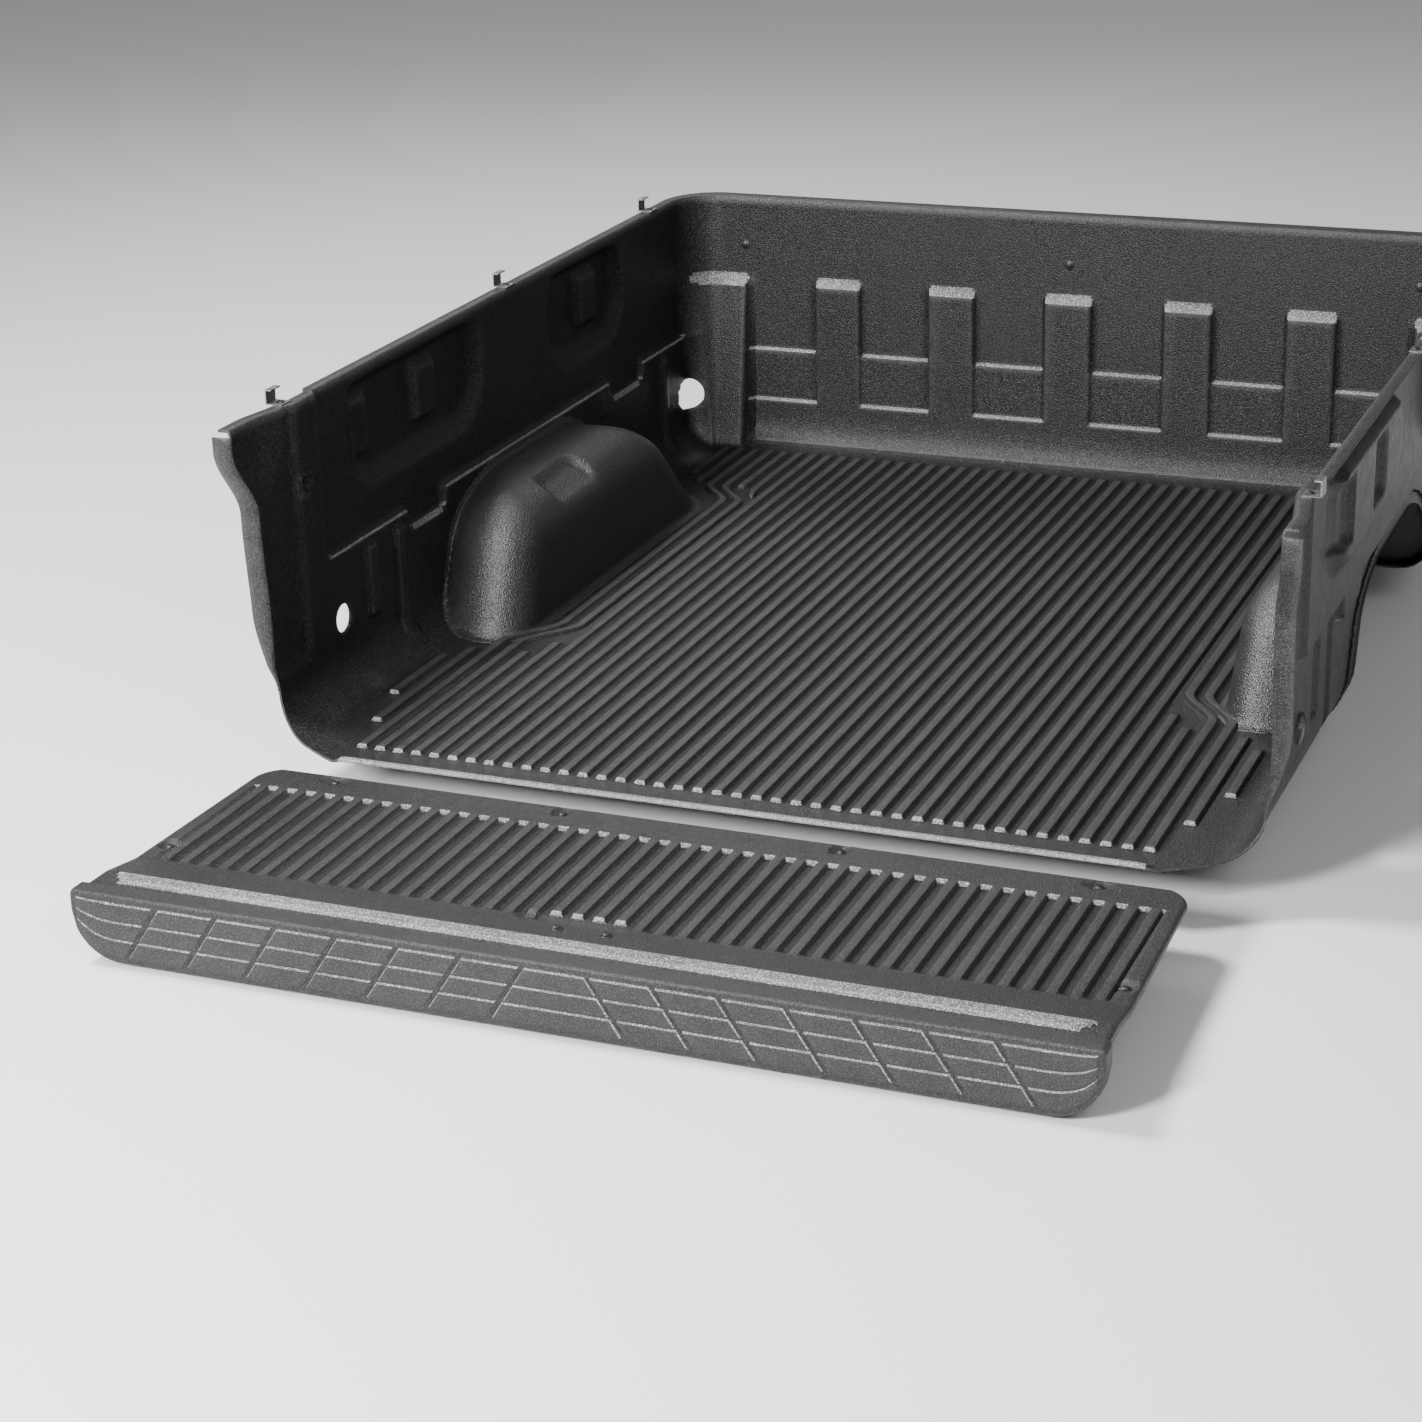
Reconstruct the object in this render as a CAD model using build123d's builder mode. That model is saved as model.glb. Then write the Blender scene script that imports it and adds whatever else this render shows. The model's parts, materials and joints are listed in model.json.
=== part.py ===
"""Under-rail truck bed liner: moulded tub, tailgate liner, tread cap and their fixings.

Frame: +X to the truck's right, +Y towards the cab, +Z up, millimetres.
Origin: underside of the tub floor, on the centre line, level with the rear ends of the ribs.
"""
from build123d import *
from math import cos, radians, sin
import os

os.makedirs("parts", exist_ok=True)

# Moulded sheet and its pressed ribs
SHEET = 4.2
PITCH = 33.5
RIB_HEIGHT = 7.0
RIB_TOP = 15.0
RIB_FOOT = 21.0
RIB_RAMP = 14.0
GROOVE_TOP = RIB_TOP - 6.0
GROOVE_FOOT = RIB_FOOT - 6.0

# Tub: inner faces of the lower walls, corner radius, and the outward step of the upper walls
SIDE = 836.0
FRONT = 1890.0
CORNER = 70.0
STEP = 12.0
HALF_STEP = 6.0
TOP = 542.0
LEDGE = 247.0
FLAT = SIDE - CORNER
FLAT_FRONT = FRONT - CORNER
SIDE_FLANGE = 24.0
FRONT_FLANGE = 34.0

# Rear edge of the tub
REAR = -62.0
REAR_HALF = 690.0
REAR_SHOULDER = -14.0
WALL_REAR = 36.0
PILLAR_TOP_REAR = -24.0
PILLAR_BEND = 413.0
PILLAR_BACK = 505.0
PILLAR_FLANGE = 40.0
BEAD_WIDTH = 16.0
BEAD_HEIGHT = 7.0

# Floor ribs: a main row, and shorter staggered ribs outside it
MAIN_RIBS = 41
OUTER_RIB_X = [703.5, 737.0]
OUTER_RIB_START = [117.0, 241.0]
RIB_FRONT_END = FLAT_FRONT - 2.0

# Wheel-well covers
WELL_INNER = 642.0
WELL_REAR = 535.0
WELL_FRONT = 1475.0
WELL_TOP_REAR = 760.0
WELL_TOP_FRONT = 1240.0
WELL_HEIGHT = 230.0
WELL_ROUND = 90.0
WELL_CLEAR = 26.0

# Front wall: pads flush with the wall's foot, stepped panels between them
PAD_PITCH = 253.0
PAD_COUNT = 5
PAD_WIDTH = 100.0
PAD_TOP = 377.0
PAD_SLOPE = 26.0
LOWER_LINE = 106.0
MIDDLE_LINE = 216.0
CORNER_PAD_EDGE = 708.0

# Side wall pressings: (rear, front) along Y, with their heights
UPPER_RECESSES = [(343.0, 884.0), (1171.0, 1546.0)]
RECESS_BOTTOM = 318.0
RECESS_TOP = 522.0
RECESS_DEPTH = 26.0
RECESS_ROUND = 70.0
BUMPS = [(352.0, 452.0), (615.0, 717.0), (1334.0, 1440.0)]
BUMP_BOTTOM = 375.0
BUMP_TOP = 492.0
BUMP_HEIGHT = 18.0
BOARD_NOTCHES = [(525.0, 680.0), (1436.0, 1606.0)]
NOTCH_BOTTOM = 208.0
LOWER_RIBS = [(380.0, 50.0), (486.0, 44.0), (1708.0, 40.0)]
LOWER_RIB_HEIGHT = 8.0
LOWER_RIB_BOTTOM = 60.0
LOWER_RIB_TOP = 234.0
REAR_TIE_HOLE = (267.0, 127.0, 26.0)
FRONT_TIE_HEIGHT = 118.0
FRONT_TIE_RADIUS = 34.0
FRONT_TIE_PLACE = 12.0  # degrees round the corner from the side wall
FRONT_TIE_TURN = 45.0  # degrees between the hole's axis and the X axis

# Tailgate liner, with the tailgate down
GATE_HINGE_EDGE = -130.0
GATE_OUTER_EDGE = -676.0
GATE_HALF_HINGE = 772.0
GATE_HALF_OUTER = 788.0
GATE_CORNER = 50.0
GATE_RIBS = 44
GATE_PITCH = 34.2
GATE_RIB_START = -520.0
GATE_RIB_END = -205.0
GATE_RISE = 18.0
GATE_STEP_FRONT = -508.0
GATE_STEP_REAR = -522.0
GATE_RISE_REAR = -598.0
STRIP_Y = -622.0
STRIP_WIDTH = 34.0
STRIP_HEIGHT = 5.0
STRIP_LENGTH = 1516.0
LATCH_X = -16.0
LATCH_WIDTH = 136.0
LATCH_FRONT = -497.0

# Tread cap round the tailgate's upper edge
CAP_FACE = -690.0
CAP_HALF = 792.0
CAP_TOP = 2 * SHEET + GATE_RISE
CAP_BOTTOM = -84.0
CAP_LIP = 32.0
CAP_ROUND = 78.0
TREAD_HEIGHT = 2.5
TREAD_ROWS = 3
TREAD_GROOVES = 7
TREAD_FIRST = 77.5
TREAD_PITCH = 99.0
TREAD_LEAN = 0.66
TREAD_GAP = 11.0
TREAD_ROW_GAP = 5.0
TREAD_MARGIN = 11.0
TREAD_END_CUT = [52.0, 20.0, 4.0, 0.0]

# Fasteners
SCREW_R = 3.0
NECK_R = 2.9
THREAD_R = 2.7
HEAD_R = 6.5
HEAD_HEIGHT = 3.4
SCREW_LENGTH = 24.0
SCREW_POINT = 5.0
WASHER_R = 10.0
WASHER_HEIGHT = 2.0
NUT_SIZE = 18.0
NUT_HEIGHT = 5.0
CLIP_WIDTH = 32.0
CLIP_DEPTH = 30.0
CLIP_RISE = 26.0
CLIP_SHEET = 2.0
WALL_SCREW_X = [-717.0, 0.0, 717.0]
WALL_SCREW_Z = 439.0
RAIL_CLIP_Y = [150.0, 1020.0, 1720.0]
GATE_SCREWS = [
    (-757.0, -463.0),
    (-635.0, -152.0),
    (-232.0, -152.0),
    (232.0, -152.0),
    (635.0, -152.0),
    (757.0, -463.0),
]
LATCH_HOLE_R = 4.2
LATCH_SCREWS = [(LATCH_X - 39.0, -561.0), (LATCH_X + 39.0, -561.0)]
CAP_RIVET_X = [-660.0, -330.0, 0.0, 330.0, 660.0]


def rib_places(count, pitch):
    """Centre lines of an evenly spaced row of ribs."""
    return [(i - (count - 1) / 2) * pitch for i in range(count)]


def rib_solids(places, start, end, foot, top, base, mode):
    """A row of tapered bars along Y, from start to end, standing on the height base."""
    with BuildSketch(Plane.XZ.offset(-start)) as section:
        with Locations(*[(x, 0) for x in places]):
            Polygon(
                (-foot / 2, base),
                (foot / 2, base),
                (top / 2, base + RIB_HEIGHT),
                (-top / 2, base + RIB_HEIGHT),
                align=None,
            )
    extrude(section.sketch, amount=start - end, mode=mode)


def pressed_ribs(places, start, end):
    """Ribs pressed up in the sheet: raised above, hollow below, and closed at both ends."""
    rib_solids(places, start, end, RIB_FOOT, RIB_TOP, SHEET, Mode.ADD)
    rib_solids(places, start + RIB_RAMP, end - RIB_RAMP, GROOVE_FOOT, GROOVE_TOP, 0, Mode.SUBTRACT)


def ramp_cut(y, direction, half_width):
    """Slope the ends of the ribs that stop at y; direction points along Y into the ribs."""
    with BuildSketch(Plane.YZ.offset(-half_width)) as wedge:
        Polygon(
            (y, SHEET),
            (y, SHEET + RIB_HEIGHT + 1),
            (y + direction * (RIB_RAMP - 3), SHEET + RIB_HEIGHT + 1),
            align=None,
        )
    extrude(wedge.sketch, amount=2 * half_width, mode=Mode.SUBTRACT)


def block(x_range, y_range, z_range, mode=Mode.ADD):
    """An upright box between the given limits."""
    centre = [(low + high) / 2 for low, high in (x_range, y_range, z_range)]
    size = [high - low for low, high in (x_range, y_range, z_range)]
    with Locations(tuple(centre)):
        Box(*size, mode=mode)


def wall_section(flat, rise, flange):
    """Section of a wall: floor fillet, then the inner face through rise, then the top flange.

    rise is a list of (out, height): how far the face stands out past the foot of the wall.
    """
    foot = flat + CORNER
    centre = SHEET + CORNER
    inner = [(foot + out, height) for out, height in rise]
    outer = [(foot + out + SHEET, height - SHEET) for out, height in rise]
    top_out = foot + rise[-1][0]
    with BuildLine() as outline:
        CenterArc((flat, centre), CORNER, -90, 90)
        Polyline((foot, centre), *inner, (top_out + flange, TOP))
        Polyline((top_out + flange, TOP), (top_out + flange, TOP - SHEET))
        Polyline((top_out + flange, TOP - SHEET), *reversed(outer), (foot + SHEET, centre))
        CenterArc((flat, centre), CORNER + SHEET, -90, 90)
        Line((flat, 0), (flat, SHEET))
    make_face(outline.edges())


def tray(face, inset, depth, rear, front, mode):
    """A rounded block let into an upper side wall, from a face outwards."""
    width = front - rear - 2 * inset
    height = RECESS_TOP - RECESS_BOTTOM - 2 * inset
    with BuildSketch(Plane.YZ.offset(face)) as outline:
        with Locations(((rear + front) / 2, (RECESS_BOTTOM + RECESS_TOP) / 2)):
            RectangleRounded(width, height, RECESS_ROUND - inset)
    extrude(outline.sketch, amount=depth, mode=mode)


# Wheel-well volumes: the outer skin of the cover and the hollow under it ------------------------
def well_volume(inset):
    """The rounded volume of a right-hand wheel-well cover, shrunk by inset."""
    with BuildSketch(Plane.YZ.offset(WELL_INNER + inset)) as outline:
        Polygon(
            (WELL_REAR + inset, -1),
            (WELL_FRONT - inset, -1),
            (WELL_TOP_FRONT - inset / 2, WELL_HEIGHT - inset),
            (WELL_TOP_REAR + inset / 2, WELL_HEIGHT - inset),
            align=None,
        )
        fillet(outline.vertices().group_by(Axis.Y)[-1], WELL_ROUND - inset)
    body = extrude(outline.sketch, amount=SIDE + SHEET - WELL_INNER - inset)
    nose = body.faces().sort_by(Axis.X)[0].edges().sort_by(Axis.Z)[1:]
    fillet(nose, WELL_ROUND - inset - 10)


with BuildPart() as well_outer:
    well_volume(0)

with BuildPart() as well_hollow:
    well_volume(SHEET)

with BuildPart() as wheel_well_right:
    add(well_outer.part)
    add(well_hollow.part, mode=Mode.SUBTRACT)
    under = (WELL_REAR - 10, WELL_FRONT + 10)
    block((WELL_INNER - 10, SIDE + 2 * SHEET), under, (-5, 0), Mode.SUBTRACT)
wheel_well_right.part.label = "wheel_well_right"
export_step(wheel_well_right.part, "parts/wheel_well_right.step")

with BuildPart() as wheel_well_left:
    mirror(wheel_well_right.part, about=Plane.YZ)
wheel_well_left.part.label = "wheel_well_left"
export_step(wheel_well_left.part, "parts/wheel_well_left.step")

# Tub floor --------------------------------------------------------------------------------------
main_ribs = rib_places(MAIN_RIBS, PITCH)
clear_ribs = [x for x in main_ribs if abs(x) < WELL_INNER - RIB_FOOT / 2]
well_ribs = [x for x in main_ribs if x not in clear_ribs]
ahead_start = WELL_FRONT + WELL_CLEAR
behind_end = WELL_REAR - WELL_CLEAR

with BuildPart() as tub_floor:
    with BuildSketch():
        Polygon(
            (-REAR_HALF, REAR),
            (REAR_HALF, REAR),
            (FLAT, REAR_SHOULDER),
            (FLAT, FLAT_FRONT),
            (-FLAT, FLAT_FRONT),
            (-FLAT, REAR_SHOULDER),
            align=None,
        )
    extrude(amount=SHEET)
    pressed_ribs(clear_ribs, 0, RIB_FRONT_END)
    pressed_ribs(well_ribs, 0, behind_end)
    pressed_ribs(well_ribs, ahead_start, RIB_FRONT_END)
    for rib_x, rib_start in zip(OUTER_RIB_X, OUTER_RIB_START):
        pair = [-rib_x, rib_x]
        pressed_ribs(pair, rib_start, behind_end)
        pressed_ribs(pair, ahead_start, RIB_FRONT_END)
        beside = (rib_x - PITCH / 2, rib_x + PITCH / 2)
        block(beside, (rib_start - 9, rib_start + 1), (SHEET, 20), Mode.SUBTRACT)
    ramp_cut(0, 1, FLAT)
    with BuildSketch(Plane.YZ.offset(-REAR_HALF)):
        with Locations((REAR + BEAD_WIDTH / 2, SHEET)):
            Ellipse(BEAD_WIDTH / 2, BEAD_HEIGHT)
        with Locations((REAR + BEAD_WIDTH / 2, -BEAD_HEIGHT + 0.5)):
            Rectangle(BEAD_WIDTH, 2 * BEAD_HEIGHT, mode=Mode.SUBTRACT)
    extrude(amount=2 * REAR_HALF)
    add(well_outer.part, mode=Mode.SUBTRACT)
    mirror(well_outer.part, about=Plane.YZ, mode=Mode.SUBTRACT)
tub_floor.part.label = "tub_floor"
export_step(tub_floor.part, "parts/tub_floor.step")

# Side walls, each with its front corner ---------------------------------------------------------
side_rise = [(0, LEDGE), (STEP, LEDGE + 4), (STEP, TOP)]
front_pad_rise = [(0, PAD_TOP - PAD_SLOPE), (STEP, PAD_TOP), (STEP, TOP)]
upper_face = SIDE + STEP
recess_face = upper_face + RECESS_DEPTH
clip_x = upper_face + 2

with BuildPart() as side_wall_right:
    with BuildSketch(Plane.XZ.offset(-REAR)):
        wall_section(FLAT, side_rise, SIDE_FLANGE)
    extrude(amount=REAR - FLAT_FRONT)
    with BuildSketch(Plane.XZ.offset(-FLAT_FRONT)):
        wall_section(FLAT, front_pad_rise, SIDE_FLANGE)
    revolve(axis=Axis((FLAT, FLAT_FRONT, 0), (0, 0, 1)), revolution_arc=90)
    block((SIDE, upper_face + SHEET), (FLAT_FRONT - SHEET, FLAT_FRONT), (LEDGE - SHEET, PAD_TOP))

    for rear, front in UPPER_RECESSES:
        tray(upper_face, 0, RECESS_DEPTH + SHEET, rear, front, Mode.ADD)
        tray(upper_face - 1, SHEET, RECESS_DEPTH + 1, rear, front, Mode.SUBTRACT)
    for rear, front in BUMPS:
        block((recess_face - BUMP_HEIGHT, recess_face), (rear, front), (BUMP_BOTTOM, BUMP_TOP))
        block(
            (recess_face - BUMP_HEIGHT + SHEET, recess_face + SHEET),
            (rear + SHEET, front - SHEET),
            (BUMP_BOTTOM + SHEET, BUMP_TOP - SHEET),
            Mode.SUBTRACT,
        )
    for rear, front in BOARD_NOTCHES:
        block((SIDE, upper_face + SHEET), (rear - SHEET, front + SHEET), (NOTCH_BOTTOM - SHEET, LEDGE))
        block((SIDE - 1, upper_face), (rear, front), (NOTCH_BOTTOM, LEDGE + 5), Mode.SUBTRACT)
    for middle, width in LOWER_RIBS:
        edges = (middle - width / 2, middle + width / 2)
        block((SIDE - LOWER_RIB_HEIGHT, SIDE + 1), edges, (LOWER_RIB_BOTTOM, LOWER_RIB_TOP))
        block(
            (SIDE - LOWER_RIB_HEIGHT + SHEET, SIDE + SHEET),
            (edges[0] + SHEET, edges[1] - SHEET),
            (LOWER_RIB_BOTTOM + 2 * CORNER / 3, LOWER_RIB_TOP - SHEET),
            Mode.SUBTRACT,
        )

    tie_y, tie_z, tie_radius = REAR_TIE_HOLE
    with BuildSketch(Plane.YZ.offset(SIDE - CORNER)):
        with Locations((tie_y, tie_z)):
            Circle(tie_radius)
    extrude(amount=2 * CORNER, mode=Mode.SUBTRACT)
    place = radians(FRONT_TIE_PLACE)
    turn = radians(FRONT_TIE_TURN)
    corner_plane = Plane(
        (FLAT + CORNER * cos(place), FLAT_FRONT + CORNER * sin(place), FRONT_TIE_HEIGHT),
        x_dir=(-sin(turn), cos(turn), 0),
        z_dir=(cos(turn), sin(turn), 0),
    )
    with BuildSketch(corner_plane):
        Circle(FRONT_TIE_RADIUS)
    extrude(amount=CORNER, both=True, mode=Mode.SUBTRACT)

    with BuildSketch(Plane.YZ.offset(FLAT - 1)):
        Polygon(
            (-300, CORNER + 20),
            (WALL_REAR, CORNER + 20),
            (WALL_REAR, PILLAR_BEND),
            (PILLAR_TOP_REAR, PILLAR_BACK),
            (PILLAR_TOP_REAR, TOP + 5),
            (-300, TOP + 5),
            align=None,
        )
    extrude(amount=2 * CORNER + STEP, mode=Mode.SUBTRACT)
    with BuildSketch(Plane.XY.offset(-5)):
        Polygon(
            (FLAT - 1, REAR - 5),
            (SIDE + 20, REAR - 5),
            (SIDE + 20, WALL_REAR),
            (SIDE, WALL_REAR),
            (FLAT, REAR_SHOULDER),
            (FLAT - 1, REAR_SHOULDER),
            align=None,
        )
    extrude(amount=CORNER + 26, mode=Mode.SUBTRACT)
    with BuildSketch(Plane.YZ.offset(SIDE)):
        Polygon(
            (WALL_REAR, CORNER + 20),
            (WALL_REAR + SHEET, CORNER + 20),
            (WALL_REAR + SHEET, PILLAR_BEND + 2),
            (PILLAR_TOP_REAR + SHEET, PILLAR_BACK + 2),
            (PILLAR_TOP_REAR + SHEET, TOP),
            (PILLAR_TOP_REAR, TOP),
            (PILLAR_TOP_REAR, PILLAR_BACK),
            (WALL_REAR, PILLAR_BEND),
            align=None,
        )
    extrude(amount=PILLAR_FLANGE)
    with BuildSketch(Plane.XY.offset(TOP - 2 * SHEET)):
        with Locations(*[(clip_x + CLIP_DEPTH / 3, y) for y in RAIL_CLIP_Y]):
            Circle(SCREW_R)
    extrude(amount=3 * SHEET, mode=Mode.SUBTRACT)
    add(well_outer.part, mode=Mode.SUBTRACT)
side_wall_right.part.label = "side_wall_right"
export_step(side_wall_right.part, "parts/side_wall_right.step")

with BuildPart() as side_wall_left:
    mirror(side_wall_right.part, about=Plane.YZ)
side_wall_left.part.label = "side_wall_left"
export_step(side_wall_left.part, "parts/side_wall_left.step")

# Front wall -------------------------------------------------------------------------------------
panel_rise = [
    (0, LOWER_LINE),
    (HALF_STEP, LOWER_LINE + 3),
    (HALF_STEP, MIDDLE_LINE),
    (STEP, MIDDLE_LINE + 3),
    (STEP, TOP),
]
pad_places = rib_places(PAD_COUNT, PAD_PITCH)
corner_pad_width = FLAT - CORNER_PAD_EDGE
corner_pad_x = CORNER_PAD_EDGE + corner_pad_width / 2
pads = [(x, PAD_WIDTH) for x in pad_places]
pads += [(-corner_pad_x, corner_pad_width), (corner_pad_x, corner_pad_width)]

with BuildPart() as front_wall:
    with BuildSketch(Plane.YZ.offset(-FLAT)):
        wall_section(FLAT_FRONT, panel_rise, FRONT_FLANGE)
    extrude(amount=2 * FLAT)
    for pad_x, pad_width in pads:
        with BuildSketch(Plane.YZ.offset(pad_x - pad_width / 2)):
            Polygon(
                (FRONT, LOWER_LINE - 8),
                (FRONT, PAD_TOP - PAD_SLOPE),
                (FRONT + STEP, PAD_TOP),
                (FRONT + STEP + SHEET, PAD_TOP),
                (FRONT + STEP + SHEET, LOWER_LINE + 2),
                (FRONT + SHEET, LOWER_LINE - 8),
                align=None,
            )
        extrude(amount=pad_width)
        with BuildSketch(Plane.YZ.offset(pad_x - pad_width / 2 + SHEET)):
            Polygon(
                (FRONT + SHEET, LOWER_LINE - 7),
                (FRONT + SHEET, PAD_TOP - PAD_SLOPE - 2),
                (FRONT + STEP + SHEET, PAD_TOP - 4),
                (FRONT + STEP + 2 * SHEET, PAD_TOP - 4),
                (FRONT + STEP + 2 * SHEET, LOWER_LINE - 7),
                align=None,
            )
        extrude(amount=pad_width - 2 * SHEET, mode=Mode.SUBTRACT)
    with BuildSketch(Plane.XZ.offset(-FRONT)):
        with Locations(*[(x, WALL_SCREW_Z) for x in WALL_SCREW_X]):
            Circle(SCREW_R)
    extrude(amount=-2 * CORNER, mode=Mode.SUBTRACT)
front_wall.part.label = "front_wall"
export_step(front_wall.part, "parts/front_wall.step")

# Tailgate liner ---------------------------------------------------------------------------------
gate_ribs = rib_places(GATE_RIBS, GATE_PITCH)
latch_ribs = [x for x in gate_ribs if abs(x - LATCH_X) < LATCH_WIDTH / 2]
full_gate_ribs = [x for x in gate_ribs if x not in latch_ribs]

with BuildPart() as tailgate_liner:
    with BuildSketch(Plane.YZ.offset(-GATE_HALF_OUTER)):
        Polygon(
            (GATE_HINGE_EDGE, 0),
            (GATE_STEP_FRONT, 0),
            (GATE_STEP_REAR, RIB_HEIGHT),
            (GATE_RISE_REAR, GATE_RISE),
            (GATE_OUTER_EDGE, GATE_RISE),
            (GATE_OUTER_EDGE, GATE_RISE + SHEET),
            (GATE_RISE_REAR, GATE_RISE + SHEET),
            (GATE_STEP_REAR, RIB_HEIGHT + SHEET),
            (GATE_STEP_FRONT, SHEET),
            (GATE_HINGE_EDGE, SHEET),
            align=None,
        )
    extrude(amount=2 * GATE_HALF_OUTER)
    with BuildSketch(Plane.XY.offset(-1)) as gate_outline:
        Polygon(
            (-GATE_HALF_OUTER, GATE_OUTER_EDGE),
            (GATE_HALF_OUTER, GATE_OUTER_EDGE),
            (GATE_HALF_HINGE, GATE_HINGE_EDGE),
            (-GATE_HALF_HINGE, GATE_HINGE_EDGE),
            align=None,
        )
        fillet(gate_outline.vertices().group_by(Axis.Y)[-1], GATE_CORNER)
    extrude(amount=4 * GATE_RISE, mode=Mode.INTERSECT)
    pressed_ribs(full_gate_ribs, GATE_RIB_START, GATE_RIB_END)
    pressed_ribs(latch_ribs, LATCH_FRONT, GATE_RIB_END)
    ramp_cut(GATE_RIB_END, -1, GATE_HALF_OUTER)
    with BuildSketch(Plane.YZ.offset(-STRIP_LENGTH / 2)):
        with Locations((STRIP_Y, GATE_RISE + SHEET + STRIP_HEIGHT / 2)):
            Trapezoid(STRIP_WIDTH, STRIP_HEIGHT, 50)
    extrude(amount=STRIP_LENGTH)
    with BuildSketch(Plane.XY.offset(-1)):
        with Locations(*GATE_SCREWS):
            Circle(SCREW_R)
        with Locations(*LATCH_SCREWS):
            Circle(LATCH_HOLE_R)
    extrude(amount=8 * SHEET, mode=Mode.SUBTRACT)
tailgate_liner.part.label = "tailgate_liner"
export_step(tailgate_liner.part, "parts/tailgate_liner.step")

# Tread cap --------------------------------------------------------------------------------------
face_height = CAP_TOP - CAP_BOTTOM
row_pitch = (face_height - 2 * TREAD_MARGIN) / TREAD_ROWS
bar_height = row_pitch - TREAD_ROW_GAP
tread_low = CAP_BOTTOM + TREAD_MARGIN
tread_middle = (CAP_TOP + CAP_BOTTOM) / 2
tread_limit = CAP_HALF - TREAD_MARGIN


def groove_x(index, z):
    """Where the slanted groove with this index crosses a height; grooves lean in towards the top."""
    return TREAD_FIRST + index * TREAD_PITCH - (z - tread_middle) * TREAD_LEAN


def tread_bar(start, end, row):
    """One raised bar between two slanted grooves, or between a groove and the cap's end."""
    low = tread_low + row * row_pitch + TREAD_ROW_GAP / 2
    high = low + bar_height
    if end < TREAD_GROOVES:
        right = [groove_x(end, low) - TREAD_GAP / 2, groove_x(end, high) - TREAD_GAP / 2]
    else:
        right = [tread_limit - TREAD_END_CUT[row], tread_limit - TREAD_END_CUT[row + 1]]
    if start < 0:
        left = [-right[0], -right[1]]
    else:
        left = [groove_x(start, low) + TREAD_GAP / 2, groove_x(start, high) + TREAD_GAP / 2]
    return [(left[0], low), (right[0], low), (right[1], high), (left[1], high)]


with BuildPart() as tailgate_cap:
    with BuildSketch(Plane.YZ.offset(-CAP_HALF)):
        Polygon(
            (CAP_FACE, CAP_BOTTOM),
            (CAP_FACE + CAP_LIP, CAP_BOTTOM),
            (CAP_FACE + CAP_LIP, CAP_BOTTOM + SHEET),
            (CAP_FACE + SHEET, CAP_BOTTOM + SHEET),
            (CAP_FACE + SHEET, CAP_TOP - SHEET),
            (CAP_FACE + CAP_LIP, CAP_TOP - SHEET),
            (CAP_FACE + CAP_LIP, CAP_TOP),
            (CAP_FACE, CAP_TOP),
            align=None,
        )
    extrude(amount=2 * CAP_HALF)
    with BuildSketch(Plane.XZ.offset(-CAP_FACE + 10)) as face_outline:
        with Locations((0, (CAP_TOP + CAP_BOTTOM) / 2)):
            Rectangle(2 * CAP_HALF, face_height)
        fillet(face_outline.vertices().group_by(Axis.Y)[0], CAP_ROUND)
    extrude(amount=-(CAP_LIP + 20), mode=Mode.INTERSECT)
    with BuildSketch(Plane.XZ.offset(-CAP_FACE)):
        for row in range(TREAD_ROWS):
            Polygon(*tread_bar(-1, 0, row), align=None)
            for groove in range(TREAD_GROOVES):
                corners = tread_bar(groove, groove + 1, row)
                Polygon(*corners, align=None)
                Polygon(*[(-x, z) for x, z in corners], align=None)
    extrude(amount=TREAD_HEIGHT)
    with BuildSketch(Plane.XY.offset(CAP_BOTTOM - 1)):
        with Locations(*[(x, CAP_FACE + 2 * CAP_LIP / 3) for x in CAP_RIVET_X]):
            Circle(SCREW_R)
    extrude(amount=SHEET + 2, mode=Mode.SUBTRACT)
tailgate_cap.part.label = "tailgate_cap"
export_step(tailgate_cap.part, "parts/tailgate_cap.step")


# Fasteners --------------------------------------------------------------------------------------
neck_length = WASHER_HEIGHT + SHEET + SCREW_R - THREAD_R

with BuildPart() as screw:
    with BuildSketch(Plane.XZ):
        with BuildLine():
            Polyline(
                (0, -SCREW_LENGTH),
                (THREAD_R, SCREW_POINT - SCREW_LENGTH),
                (THREAD_R, -neck_length),
                (NECK_R, -neck_length),
                (NECK_R, 0),
                (HEAD_R, 0),
            )
            Line((HEAD_R, 0), (HEAD_R, HEAD_HEIGHT / 3))
            ThreePointArc((HEAD_R, HEAD_HEIGHT / 3), (HEAD_R * 0.6, HEAD_HEIGHT * 0.85), (0, HEAD_HEIGHT))
            Line((0, HEAD_HEIGHT), (0, -SCREW_LENGTH))
        make_face()
    revolve(axis=Axis.Z)
    with BuildSketch(Plane.XY.offset(HEAD_HEIGHT - 1.4)):
        Rectangle(HEAD_R, 1.4)
        Rectangle(1.4, HEAD_R)
    extrude(amount=2, mode=Mode.SUBTRACT)

with BuildPart() as cup_washer:
    with BuildSketch(Plane.XZ):
        Polygon(
            (SCREW_R, 0),
            (WASHER_R, 0),
            (WASHER_R - 1, WASHER_HEIGHT * 0.6),
            (HEAD_R, WASHER_HEIGHT),
            (SCREW_R, WASHER_HEIGHT),
            align=None,
        )
    revolve(axis=Axis.Z)

with BuildPart() as nut_clip:
    Box(NUT_SIZE, NUT_SIZE * 1.3, NUT_HEIGHT, align=(Align.CENTER, Align.CENTER, Align.MAX))
    Hole(SCREW_R)

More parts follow.
